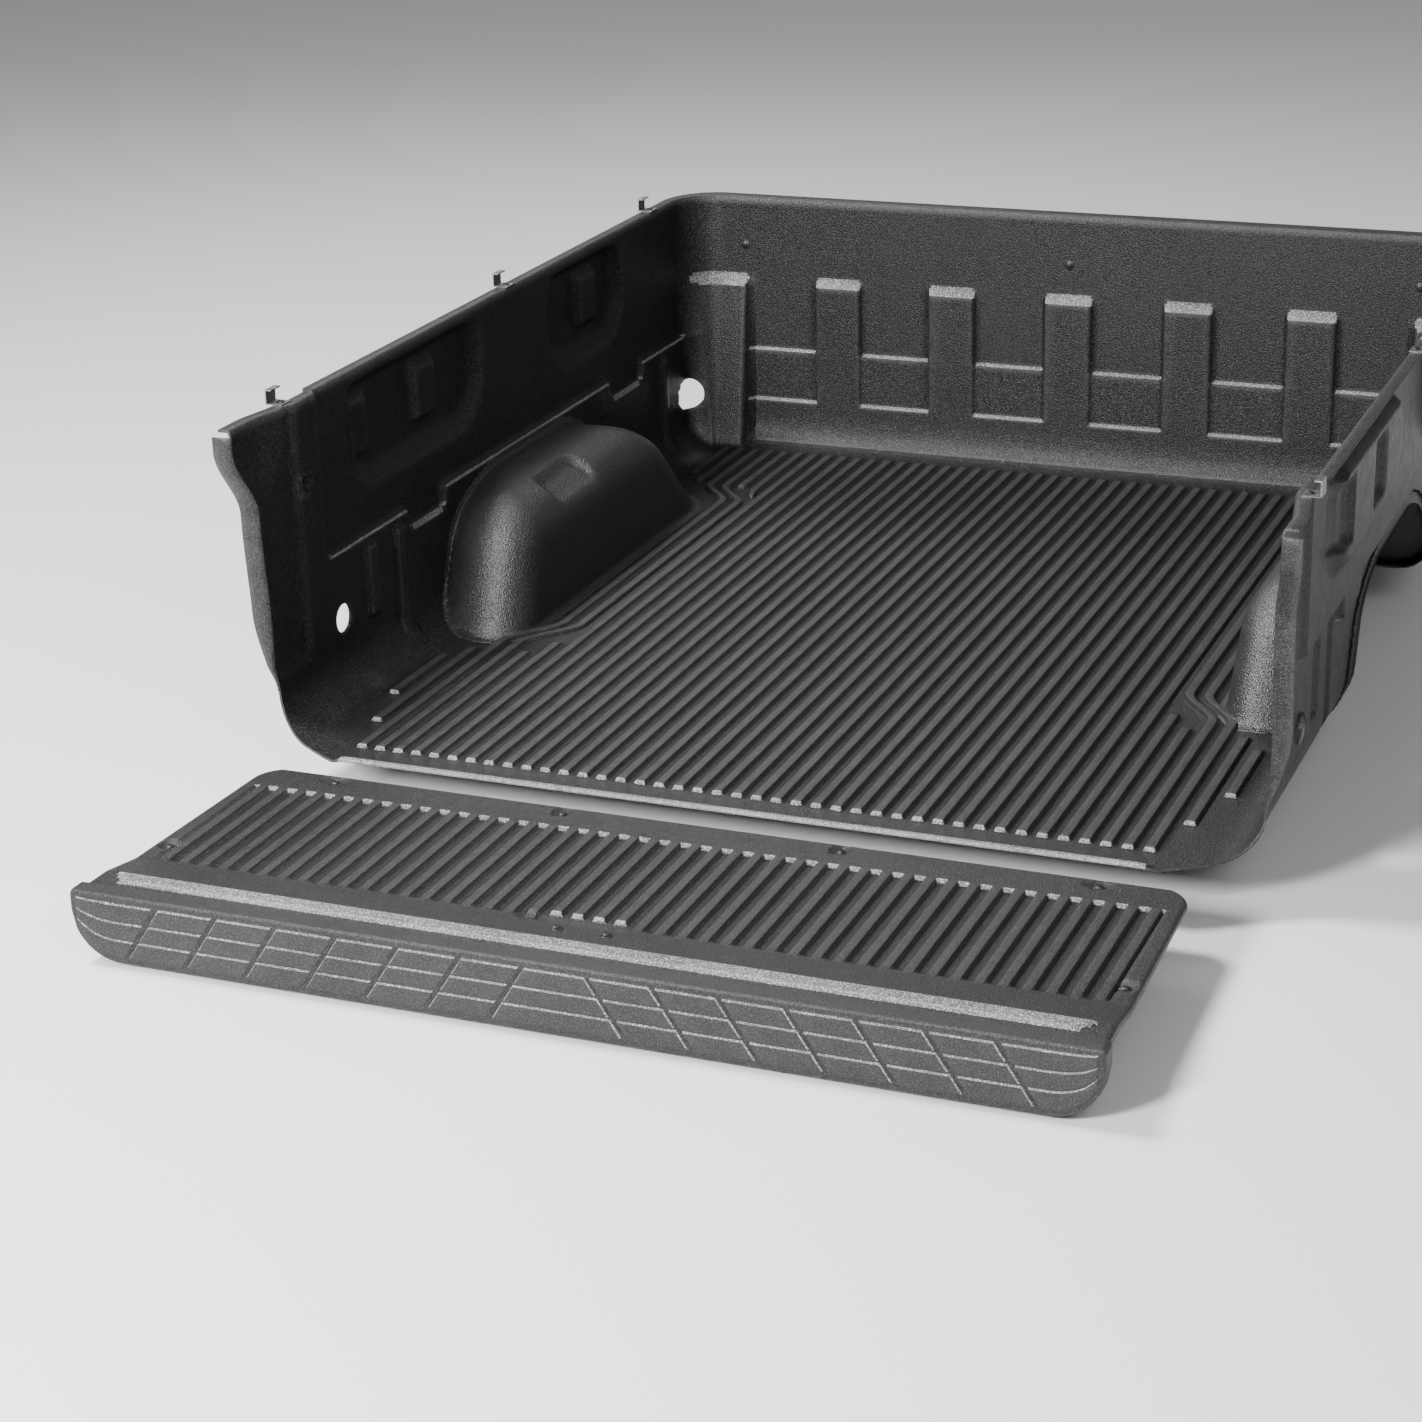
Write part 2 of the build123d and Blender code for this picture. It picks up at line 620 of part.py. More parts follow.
with BuildPart() as rail_clip:
    with BuildSketch(Plane.XZ):
        Polygon(
            (0, 0),
            (CLIP_DEPTH, 0),
            (CLIP_DEPTH, CLIP_RISE),
            (CLIP_DEPTH - 12, CLIP_RISE),
            (CLIP_DEPTH - 12, CLIP_RISE - CLIP_SHEET),
            (CLIP_DEPTH - CLIP_SHEET, CLIP_RISE - CLIP_SHEET),
            (CLIP_DEPTH - CLIP_SHEET, CLIP_SHEET),
            (0, CLIP_SHEET),
            align=None,
        )
    extrude(amount=CLIP_WIDTH / 2, both=True)
    with Locations((CLIP_DEPTH / 3, 0, 0)):
        Hole(SCREW_R)


def copies(label, piece, places):
    """One node made of equal solids, each placed by a plane whose normal points out of the head."""
    with BuildPart() as group:
        with Locations(*[place.location for place in places]):
            add(piece.part)
    group.part.label = label
    export_step(group.part, f"parts/{label}.step")


def facing(x, y, z, normal):
    """A seat for a fastener, at a point and facing along normal."""
    return Plane((x, y, z), z_dir=normal)


wall_seats = [facing(x, FRONT + STEP, WALL_SCREW_Z, (0, -1, 0)) for x in WALL_SCREW_X]
gate_seats = [facing(x, y, SHEET, (0, 0, 1)) for x, y in GATE_SCREWS]
gate_slope = (GATE_RISE - RIB_HEIGHT) / (GATE_STEP_REAR - GATE_RISE_REAR)
latch_seats = [
    facing(x, y, SHEET + RIB_HEIGHT + (GATE_STEP_REAR - y) * gate_slope, (0, gate_slope, 1))
    for x, y in LATCH_SCREWS
]
rivet_y = CAP_FACE + 2 * CAP_LIP / 3
rivet_seats = [facing(x, rivet_y, CAP_BOTTOM, (0, 0, -1)) for x in CAP_RIVET_X]
left_clips = [Plane((-clip_x, y, TOP), x_dir=(-1, 0, 0), z_dir=(0, 0, 1)) for y in RAIL_CLIP_Y]
right_clips = [Plane((clip_x, y, TOP), x_dir=(1, 0, 0), z_dir=(0, 0, 1)) for y in RAIL_CLIP_Y]
clip_seat_x = clip_x + CLIP_DEPTH / 3
left_clip_seats = [facing(-clip_seat_x, y, TOP + CLIP_SHEET, (0, 0, 1)) for y in RAIL_CLIP_Y]
right_clip_seats = [facing(clip_seat_x, y, TOP + CLIP_SHEET, (0, 0, 1)) for y in RAIL_CLIP_Y]

copies("front_wall_screws", screw, [seat.offset(WASHER_HEIGHT) for seat in wall_seats])
copies("front_wall_washers", cup_washer, wall_seats)
copies("tailgate_screws", screw, [seat.offset(WASHER_HEIGHT) for seat in gate_seats])
copies("tailgate_washers", cup_washer, gate_seats)
copies("latch_screws", screw, [seat.offset(WASHER_HEIGHT) for seat in latch_seats])
copies("latch_washers", cup_washer, latch_seats)
copies("cap_screws", screw, rivet_seats)
copies("cap_nut_clips", nut_clip, [seat.offset(-SHEET) for seat in rivet_seats])
copies("rail_clips_left", rail_clip, left_clips)
copies("rail_clips_right", rail_clip, right_clips)
copies("rail_clip_screws_left", screw, left_clip_seats)
copies("rail_clip_screws_right", screw, right_clip_seats)
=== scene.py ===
"""Looks of the truck bed liner: one moulded tub sheet, two wheel-well covers, a tailgate sheet and a
tread cap, laid over the CAD frame. Lengths in this script are millimetres until a mesh is made."""
import json
import math

import bmesh
import bpy
import numpy as np
from mathutils import Matrix, Vector

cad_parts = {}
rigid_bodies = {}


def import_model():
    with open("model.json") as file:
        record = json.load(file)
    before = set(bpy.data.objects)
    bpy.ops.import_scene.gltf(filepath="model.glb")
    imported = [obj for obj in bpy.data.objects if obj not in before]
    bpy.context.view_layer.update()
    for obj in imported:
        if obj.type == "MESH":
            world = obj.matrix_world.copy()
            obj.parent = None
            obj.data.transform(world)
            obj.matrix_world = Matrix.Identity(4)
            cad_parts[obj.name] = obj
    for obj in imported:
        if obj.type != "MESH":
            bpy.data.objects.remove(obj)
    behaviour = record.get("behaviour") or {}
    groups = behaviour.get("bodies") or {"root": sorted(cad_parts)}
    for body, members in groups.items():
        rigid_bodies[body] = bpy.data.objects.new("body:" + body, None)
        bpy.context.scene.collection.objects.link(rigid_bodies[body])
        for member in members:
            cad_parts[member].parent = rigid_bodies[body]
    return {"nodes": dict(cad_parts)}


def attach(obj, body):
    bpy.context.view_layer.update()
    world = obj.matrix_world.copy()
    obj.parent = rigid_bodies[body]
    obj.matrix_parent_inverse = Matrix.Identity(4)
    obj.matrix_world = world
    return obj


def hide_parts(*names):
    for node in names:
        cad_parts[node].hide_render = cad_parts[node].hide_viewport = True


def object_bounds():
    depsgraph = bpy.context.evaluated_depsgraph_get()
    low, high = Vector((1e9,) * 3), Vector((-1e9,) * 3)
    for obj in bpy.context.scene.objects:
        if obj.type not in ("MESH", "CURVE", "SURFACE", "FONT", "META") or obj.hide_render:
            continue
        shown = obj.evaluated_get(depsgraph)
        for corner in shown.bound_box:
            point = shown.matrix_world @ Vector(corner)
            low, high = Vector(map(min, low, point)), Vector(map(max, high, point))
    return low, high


for stale in list(bpy.data.objects):
    bpy.data.objects.remove(stale)

camera_data = bpy.data.cameras.new("camera")
camera = bpy.data.objects.new("camera", camera_data)
bpy.context.scene.collection.objects.link(camera)
bpy.context.scene.camera = camera
camera_data.sensor_width = 36.0
camera_data.lens = 78.9
camera_data.clip_start = 0.1
camera_data.clip_end = 60.0
RIGHT = Vector((0.9271, 0.3740, -0.0254))
UP = Vector((-0.1128, 0.3428, 0.9327))
BACK = Vector((0.3575, -0.8618, 0.3600))
EYE = Vector((1.715, -4.226, 1.913))
camera.matrix_world = Matrix.Translation(EYE) @ Matrix((RIGHT, UP, BACK)).transposed().to_4x4()

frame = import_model()
cad_low, cad_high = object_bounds()

# Sizes of the moulded sheet -----------------------------------------------------------------------
SHEET = 4.2
# Half-width at the walls' feet, place of the front wall's foot, radius of fillets and corners
SIDE, FRONT, CORNER = 836.0, 1890.0, 70.0
# Where the flat floor ends, at the sides and at the front
FLAT, FLAT_FRONT = SIDE - CORNER, FRONT - CORNER
# How far the walls step out on their way up, their top, and the round below their flange
STEP, TOP, ROUND_TOP = 12.0, 542.0, 8.0
SIDE_FLANGE, FRONT_FLANGE = 24.0, 34.0
# Rear edge of the floor, the half-width over which it is straight, rear edge of the side walls,
# and the place behind which rows of points are drawn towards that edge
REAR, REAR_HALF, WALL_REAR, BLEND_Y = -62.0, 690.0, 36.0, 116.0
PITCH, RIB_HEIGHT = 33.5, 7.0
# A rib's section: places across it, and the share of its height at each
RIB_OFFSETS = [-10.5, -8.2, -6.0, 6.0, 8.2, 10.5]
RIB_PROFILE = [0.0, 0.8, 1.0, 1.0, 0.8, 0.0]
# Heights between which the side walls step out
LEDGE_LOW, LEDGE_HIGH = 243.0, 256.0
# Points along a wall's fillet; at the front the floor's grid takes the first few of them
ARC_DEGREES = [0, 8, 16, 24, 32, 40, 50, 60, 70, 80, 90]
ARC_ON_FLOOR = 5
# 2 makes a fillet round, and more makes it squarer
FRONT_SQUARENESS = 2.7
WELL_TOP = 230.0
# How far inside a wheel-well cover the tub sheet is open
OPENING_INSET = 14.0
# How far ahead of its start and behind it a round hole's cut reaches, in metres
CUT_AHEAD, CUT_BEHIND = 0.13, 0.01


def ease(low, high, value):
    """A smooth rise from 0 at low to 1 at high."""
    t = np.clip((np.asarray(value, float) - low) / (high - low), 0, 1)
    return t * t * (3 - 2 * t)


def rounded_box(u, v, box, radius):
    """Signed distance to a rounded rectangle given as (low u, high u, low v, high v)."""
    qu = np.abs(u - (box[0] + box[1]) / 2) - (box[1] - box[0]) / 2 + radius
    qv = np.abs(v - (box[2] + box[3]) / 2) - (box[3] - box[2]) / 2 + radius
    return np.hypot(np.maximum(qu, 0), np.maximum(qv, 0)) + np.minimum(np.maximum(qu, qv), 0) - radius


def union(values, closest):
    """Sorted values with near repeats dropped; earlier groups win."""
    kept = []
    for value in values:
        if all(abs(value - other) >= closest for other in kept):
            kept.append(value)
    return np.array(sorted(kept))


def grid_quads(rows, columns):
    """Corner numbers of the faces of a grid of points."""
    index = np.arange(rows * columns).reshape(rows, columns)
    quads = np.stack([index[:-1, :-1], index[:-1, 1:], index[1:, 1:], index[1:, :-1]], -1)
    return quads.reshape(-1, 4)


def write_mesh(work, data):
    """Writes an edited mesh back, without loose points and with smooth faces."""
    loose = [v for v in work.verts if not v.link_faces]
    bmesh.ops.delete(work, geom=loose, context="VERTS")
    work.to_mesh(data)
    work.free()
    for polygon in data.polygons:
        polygon.use_smooth = True


class Sheet:
    """Collects grids of points and makes one welded mesh from them."""

    def __init__(self):
        self.points, self.quads, self.count = [], [], 0

    def grid(self, x, y, z, flip=False):
        """Adds a grid from three equal two-dimensional arrays."""
        quads = grid_quads(*x.shape) + self.count
        self.quads.append(quads[:, ::-1] if flip else quads)
        self.points.append(np.stack([x, y, z], -1).reshape(-1, 3))
        self.count += x.size

    def mesh(self, name, drop=None, holes=()):
        """The welded mesh in metres: dropped faces go, their rim is smoothed, and holes are cut."""
        points = np.concatenate(self.points)
        quads = np.concatenate(self.quads)
        centres = points[quads].mean(1)
        keep = np.ones(len(quads), bool)
        if drop is not None:
            keep &= ~drop(centres)
            rim = np.intersect1d(quads[keep], quads[~keep])
            points[rim] = smooth_rim(points[rim])
        data = bpy.data.meshes.new(name)
        data.from_pydata((points * 0.001).tolist(), [], quads[keep].tolist())
        work = bmesh.new()
        work.from_mesh(data)
        bmesh.ops.remove_doubles(work, verts=work.verts, dist=3e-5)
        for centre, axis, radius in holes:
            cut_hole(work, Vector(centre) * 0.001, Vector(axis).normalized(), radius * 0.001)
        write_mesh(work, data)
        return data


def cut_hole(work, centre, axis, radius):
    """Opens a round hole: faces inside it go, and the rim is drawn onto the circle."""
    def across(point):
        offset = point - centre
        return offset - axis * offset.dot(axis), offset.dot(axis)

    doomed = []
    for face in work.faces:
        flat, along = across(face.calc_center_median())
        if flat.length < radius and -CUT_BEHIND < along < CUT_AHEAD:
            doomed.append(face)
    rim = {v for face in doomed for v in face.verts if any(f not in doomed for f in v.link_faces)}
    bmesh.ops.delete(work, geom=doomed, context="FACES")
    for vertex in rim:
        flat, _ = across(vertex.co)
        vertex.co += flat * (radius / max(flat.length, 1e-6) - 1)


def paint_worn_and_highlit_faces(data, worn, chosen):
    """Gives the paler material to the faces that chosen picks from their centres and normals: worn
    places, and places with a painted highlight.
    """
    data.materials.append(worn)
    count = len(data.polygons)
    centres, normals = np.zeros(count * 3), np.zeros(count * 3)
    data.polygons.foreach_get("center", centres)
    data.polygons.foreach_get("normal", normals)
    picked = chosen(centres.reshape(-1, 3) * 1000, normals.reshape(-1, 3))
    data.polygons.foreach_set("material_index", picked.astype(np.int32))


def piece(name, data, body, replaced, material):
    """Places a mesh as a piece on a body, with the sheet's thickness at its rims."""
    obj = bpy.data.objects.new(name, data)
    bpy.context.scene.collection.objects.link(obj)
    data.materials.append(material)
    rim = obj.modifiers.new("rim", "SOLIDIFY")
    rim.thickness = SHEET * 0.001
    rim.offset = -1.0
    rim.use_rim_only = True
    normals = obj.modifiers.new("normals", "WEIGHTED_NORMAL")
    normals.weight = 60
    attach(obj, body)
    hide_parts(*replaced)


# Materials ----------------------------------------------------------------------------------------
def node(tree, kind, **inputs):
    """A shader node with its unlinked inputs set by name."""
    made = tree.nodes.new(kind)
    for key, value in inputs.items():
        made.inputs[key].default_value = value
    return made


def noise(tree, coordinates, scale, detail=3.0, roughness=0.55):
    """Noise at a scale in features per metre."""
    made = node(tree, "ShaderNodeTexNoise", Scale=scale, Detail=detail, Roughness=roughness)
    tree.links.new(coordinates.outputs["Object"], made.inputs["Vector"])
    return made


def ramp(tree, source, low, high, low_value, high_value):
    """Maps a factor from one range to another."""
    made = tree.nodes.new("ShaderNodeMapRange")
    made.inputs["From Min"].default_value = low
    made.inputs["From Max"].default_value = high
    made.inputs["To Min"].default_value = low_value
    made.inputs["To Max"].default_value = high_value
    tree.links.new(source, made.inputs["Value"])
    return made.outputs["Result"]


def combine(tree, operation, first, second):
    """One arithmetic step on two sockets."""
    made = tree.nodes.new("ShaderNodeMath")
    made.operation = operation
    tree.links.new(first, made.inputs[0])
    tree.links.new(second, made.inputs[1])
    return made.outputs["Value"]


def grey(level, blue=None):
    """A grey as four numbers, or one with a blue of its own."""
    return (level, level, level if blue is None else blue, 1)


def mix(tree, factor, first, second):
    """Mixes two colours; each is a socket or four numbers."""
    made = tree.nodes.new("ShaderNodeMix")
    made.data_type = "RGBA"
    tree.links.new(factor, made.inputs["Factor"])
    for key, value in (("A", first), ("B", second)):
        socket = [s for s in made.inputs if s.name == key and s.type == "RGBA"][0]
        if isinstance(value, tuple):
            socket.default_value = value
        else:
            tree.links.new(value, socket)
    return [s for s in made.outputs if s.type == "RGBA"][0]


# Ranges of the shader's pointiness: below 0.5 is hollow and above it is raised
HOLLOW, RAISED = (0.40, 0.485), (0.505, 0.56)


def plastic(name, dark, light, scuff, roughness, grain, scuffing, flecked, shine=0.3):
    """Moulded polyethylene: pebbled grain, cloudy sheen, scuffed edges, painted shade darkening the
    hollows, and duller hollows.
    """
    material = bpy.data.materials.new(name)
    material.use_nodes = True
    tree = material.node_tree
    shader = tree.nodes["Principled BSDF"]
    place = tree.nodes.new("ShaderNodeTexCoord")
    cloud = noise(tree, place, 5.0, 4.0)
    speck = noise(tree, place, 420.0, 2.0, 0.7)
    pebble = tree.nodes.new("ShaderNodeTexVoronoi")
    pebble.inputs["Scale"].default_value = 330.0
    tree.links.new(place.outputs["Object"], pebble.inputs["Vector"])
    base = mix(tree, ramp(tree, cloud.outputs["Fac"], 0.35, 0.65, 0, 1), dark, light)
    flecks = ramp(tree, speck.outputs["Fac"], 0.5, 0.68, 0, flecked)
    base = mix(tree, flecks, base, scuff)
    edges = tree.nodes.new("ShaderNodeNewGeometry")
    worn = ramp(tree, edges.outputs["Pointiness"], *RAISED, 0, scuffing)
    patchy = noise(tree, place, 38.0, 5.0, 0.7)
    patches = ramp(tree, patchy.outputs["Fac"], 0.3, 0.62, 0.3, 1)
    base = mix(tree, combine(tree, "MULTIPLY", worn, patches), base, scuff)
    # Painted shade: hollows are mixed towards near black, standing in for the shadow that falls in
    # grooves
    painted_hollow_shade = ramp(tree, edges.outputs["Pointiness"], *HOLLOW, 0.75, 0)
    base = mix(tree, painted_hollow_shade, base, grey(0.002))
    tree.links.new(base, shader.inputs["Base Color"])
    gloss = ramp(tree, edges.outputs["Pointiness"], *HOLLOW, shine * 0.4, shine)
    tree.links.new(gloss, shader.inputs["Specular IOR Level"])
    sheen = ramp(tree, patchy.outputs["Fac"], 0.3, 0.7, roughness - 0.06, roughness + 0.08)
    tree.links.new(sheen, shader.inputs["Roughness"])
    height = combine(tree, "ADD", pebble.outputs["Distance"], speck.outputs["Fac"])
    bump = node(tree, "ShaderNodeBump", Strength=grain, Distance=0.0011)
    tree.links.new(height, bump.inputs["Height"])
    tree.links.new(bump.outputs["Normal"], shader.inputs["Normal"])
    return material


def metal(name, dark, light, roughness, metallic):
    """Coated or plated steel with fine wear."""
    material = bpy.data.materials.new(name)
    material.use_nodes = True
    tree = material.node_tree
    shader = tree.nodes["Principled BSDF"]
    place = tree.nodes.new("ShaderNodeTexCoord")
    marks = noise(tree, place, 260.0, 5.0, 0.65)
    colour = mix(tree, ramp(tree, marks.outputs["Fac"], 0.4, 0.68, 0, 1), dark, light)
    tree.links.new(colour, shader.inputs["Base Color"])
    sheen = ramp(tree, marks.outputs["Fac"], 0.3, 0.7, roughness, roughness + 0.2)
    tree.links.new(sheen, shader.inputs["Roughness"])
    shader.inputs["Metallic"].default_value = metallic
    bump = node(tree, "ShaderNodeBump", Strength=0.25, Distance=0.0003)
    tree.links.new(marks.outputs["Fac"], bump.inputs["Height"])
    tree.links.new(bump.outputs["Normal"], shader.inputs["Normal"])
    return material


TUB_COLOURS = (grey(0.007, 0.0073), grey(0.010, 0.0105), grey(0.14))
TUB = plastic(
    "tub_polyethylene", *TUB_COLOURS, roughness=0.36, grain=0.6, scuffing=0.3, flecked=0.5
)
WELL = plastic(
    "well_polyethylene", *TUB_COLOURS, roughness=0.36, grain=1.0, scuffing=0.12, flecked=0.5, shine=1.0
)
# Paler plastic for worn places and for painted highlights on faces that catch the light
TUB_WORN_AND_HIGHLIT = plastic(
    "tub_polyethylene_worn_and_highlit", grey(0.06), grey(0.11), grey(0.60),
    roughness=0.42, grain=0.9, scuffing=0.3, flecked=0.9,
)
GATE = plastic(
    "gate_polyethylene", grey(0.017, 0.018), grey(0.022, 0.023), grey(0.16),
    roughness=0.44, grain=0.5, scuffing=0.12, flecked=0.35, shine=0.25,
)
# Paler plastic for the worn strip and for painted highlights on the tailgate's groove ends and the
# tread's bevels
GATE_WORN_AND_HIGHLIT = plastic(
    "gate_polyethylene_worn_and_highlit", grey(0.08), grey(0.14), grey(0.62),
    roughness=0.5, grain=1.0, scuffing=0.3, flecked=0.9,
)
SCREW = metal("black_coated_steel", grey(0.02, 0.021), grey(0.09), roughness=0.35, metallic=0.6)
CLIP = metal(
    "zinc_plated_steel", (0.20, 0.21, 0.22, 1), (0.42, 0.43, 0.43, 1), roughness=0.35, metallic=1.0
)


# Floor --------------------------------------------------------------------------------------------
RIB_COUNT = 45
RIBS = [(i - (RIB_COUNT - 1) / 2) * PITCH for i in range(RIB_COUNT)]
JOG = 2 * PITCH
# Spans along Y of each rib, counted inwards from the outermost; ribs further in run full length
FULL = [(0.0, 1842.0)]
OUTER_SPANS = [
    [(245.0, 463.0), (1620.0, 1842.0)],
    [(117.0, 510.0), (1570.0, 1842.0)],
    FULL,
    FULL,
    [(0.0, 517.0), (1555.0, 1842.0)],
    [(0.0, 577.0), (1500.0, 1842.0)],
]
RIB_RAMP_REAR, RIB_RAMP_FRONT = 7.0, 20.0
# Beside the wheel wells the ribs jog inwards: shares of the jog by distance from the centre line,
# and the stretches along Y over which it starts and ends
JOG_PLACES, JOG_SHARES = [546.5, 626.0, 680.5, FLAT], [0, 1, 1, 0]
JOG_STARTS, JOG_ENDS = (545, 672), (1450, 1560)
# Columns where the rear edge starts to curve and where the front wall's corner pads begin
EXTRA_COLUMNS = (717.5, 723.0, 691.0)
# A rounded bead along the floor's rear edge, with the stretch over which it fades out
BEAD_HALF, BEAD_HEIGHT, BEAD_FADE = 8.0, 6.0, (672, 692)
# The worn rear ends of the ribs all lie behind this place
RIB_STARTS_END = 260


def rear_edge_floor(x):
    """Where the sheet's rear edge lies, by distance from the centre line."""
    beyond = np.clip(np.abs(x) - REAR_HALF, 0, SIDE - REAR_HALF) / (SIDE - REAR_HALF)
    return REAR + (WALL_REAR - REAR) * beyond**1.12


def rear_edge_wall(z):
    """Where the side wall's rear edge lies, by height: it sweeps back at the top."""
    return WALL_REAR - 12 * ease(180, 380, z) - 46 * ease(385, 508, z)


def settle(y, edge):
    """Draws rows near the rear onto the edge."""
    share = (y - REAR) / (BLEND_Y - REAR)
    return np.where(y < BLEND_Y, edge + share * (BLEND_Y - edge), y)


def jog_share(y):
    """How far the ribs beside a wheel well have jogged inwards."""
    return ease(*JOG_STARTS, y) * (1 - ease(*JOG_ENDS, y))


def jogged(x, y):
    """Moves floor columns inwards beside the wheel wells."""
    size = np.abs(x)
    share = np.interp(size, JOG_PLACES, JOG_SHARES)
    return np.sign(x) * (size - JOG * share * jog_share(y))


def floor_arrays():
    """Columns of the floor with the rib each belongs to and its share of the rib's height."""
    columns = [(-FLAT, None, 0.0)]
    for number, middle in enumerate(RIBS):
        for offset, share in zip(RIB_OFFSETS, RIB_PROFILE):
            columns.append((middle + offset, number, share))
    columns.append((FLAT, None, 0.0))
    for side in (-1, 1):
        columns += [(side * across, None, 0.0) for across in EXTRA_COLUMNS]
    return sorted(columns, key=lambda column: column[0])


def rib_height(number, y):
    """Height share of a rib along Y, with sloped ends."""
    if number is None:
        return np.zeros_like(y)
    outer = min(number, RIB_COUNT - 1 - number)
    spans = OUTER_SPANS[outer] if outer < len(OUTER_SPANS) else FULL
    total = np.zeros_like(y)
    for start, end in spans:
        rise = ease(start, start + RIB_RAMP_REAR, y)
        total = np.maximum(total, rise * (1 - ease(end - RIB_RAMP_FRONT, end, y)))
    return total


def rows_between(*stretches):
    """Row positions from (start, end, spacing) stretches."""
    rows = []
    for start, end, spacing in stretches:
        count = max(1, round(abs(end - start) / spacing))
        rows.extend(np.linspace(start, end, count, endpoint=False))
    return rows


Y_ROWS = np.array(
    rows_between(
        (REAR, -44, 2.0), (-44, 0, 9), (0, 7.5, 1.5), (7.5, 117, 9), (117, 126, 1.5), (126, 245, 9),
        (245, 254, 1.5), (254, 452, 9), (452, 600, 5), (600, 690, 7), (690, 1440, 11),
        (1440, 1634, 5), (1634, FLAT_FRONT, 9),
    )
    + [FLAT_FRONT]
)


def section(squareness):
    """(out, height, share of outward movement) along a wall's fillet."""
    theta = np.radians(ARC_DEGREES)
    out = CORNER * np.sin(theta) ** (2 / squareness)
    down = np.clip(np.cos(theta), 0, 1) ** (2 / squareness)
    return out, SHEET + CORNER * (1 - down), np.sin(theta)


def build_floor(sheet):
    """The ribbed floor, with the first part of the front wall's fillet."""
    columns = floor_arrays()
    out, rise, outward = (values[1 : ARC_ON_FLOOR + 1] for values in section(FRONT_SQUARENESS))
    y_rows = np.concatenate([Y_ROWS, FLAT_FRONT + out])
    base = np.concatenate([np.full(len(Y_ROWS), SHEET), rise])
    x = np.zeros((len(y_rows), len(columns)))
    y, z = x.copy(), x.copy()
    last_arc = np.concatenate([np.zeros(len(Y_ROWS)), np.linspace(0, 1, ARC_ON_FLOOR + 1)[1:]])
    moved = np.concatenate([np.zeros(len(Y_ROWS)), outward])
    for index, (start, number, share) in enumerate(columns):
        x[:, index] = jogged(np.full(len(y_rows), start), y_rows)
        y[:, index] = settle(y_rows, rear_edge_floor(start)) + moved * front_out(start, base)
        height = RIB_HEIGHT * share * rib_height(number, y_rows) * (1 - last_arc)
        beyond = np.abs((y_rows - (REAR + BEAD_HALF)) / BEAD_HALF)
        bead = BEAD_HEIGHT * np.sqrt(np.clip(1 - beyond**2, 0, 1)) * (1 - ease(*BEAD_FADE, abs(start)))
        z[:, index] = base + height + bead
    sheet.grid(x, y, z)


# Walls --------------------------------------------------------------------------------------------
# Heights of the walls' points: first at the edges of what is moulded into them, then evenly
Z_ROWS = union(
    [102, 105, 108, 212, 215, 218, 239, 243, 247, 251, 256, 261, 351, 357, 364, 371, 377, 382, 530]
    + list(np.arange(82, 530, 7.5)),
    3.0,
)

# Shapes moulded into the side walls, each from low y to high y and from low z to high z
RECESSES = [(343, 884, 318, 560), (1171, 1546, 318, 560)]
BUMPS = [(352, 452, 375, 492), (615, 717, 375, 492), (1334, 1440, 375, 492)]
NOTCHES = [(525, 680, 208, 300), (1436, 1606, 208, 300)]
LOWER_RIBS = [(355, 405, 96, 234), (464, 508, 20, 234), (1688, 1728, 20, 234)]
DENT = (1365, 1409, 180, 243)
RECESS_DEPTH, BUMP_DEPTH, LOWER_RIB_DEPTH, DENT_DEPTH = 24, 15, 8, 5
# Each kind's corner radius, and the distances inside its outline where its sloped edge starts and ends
RECESS_EDGE, BUMP_EDGE, NOTCH_EDGE = (105, -4, 40), (14, -2, 17), (22, 0, 9)
LOWER_RIB_EDGE, DENT_EDGE = (10, -2, 9), (20, 0, 12)
# Heights over which the recesses fade out below the wall's top
RECESS_FADE = (500, 526)
# A round boss near the rear, with a dish in it
BOSS_Y, BOSS_Z, BOSS_HEIGHT, DISH_DEPTH = 171.0, 396.0, 5, 12
BOSS_EDGE, DISH_EDGE = (20, 27), (12, 18)
# How far the rear of the side walls stands out, and how much more it does towards its top, each with
# the stretches along Y and Z over which it comes in
REAR_OUT, REAR_OUT_Y, REAR_OUT_Z = 6, (138, 152), (80, 120)
REAR_TOP_OUT, REAR_TOP_Y, REAR_TOP_Z = 14, (30, 138), (390, 500)
# The step at the ledge starts along this stretch of Y
LEDGE_START = (226, 244)
# The strip that turns outwards along the side walls' rear edge: heights between which it widens,
# its least width and how much it gains, and the most that it reaches rearwards
TURN_FROM, TURN_FULL, TURN_NARROW, TURN_GROWTH, TURN_BACK = 70, 210, 4, 28, 12


def moulded(y, z, box, edge):
    """The share of its depth that a moulded shape has at each place: 0 outside and 1 inside."""
    radius, start, end = edge
    return ease(start, end, -rounded_box(y, z, box, radius))


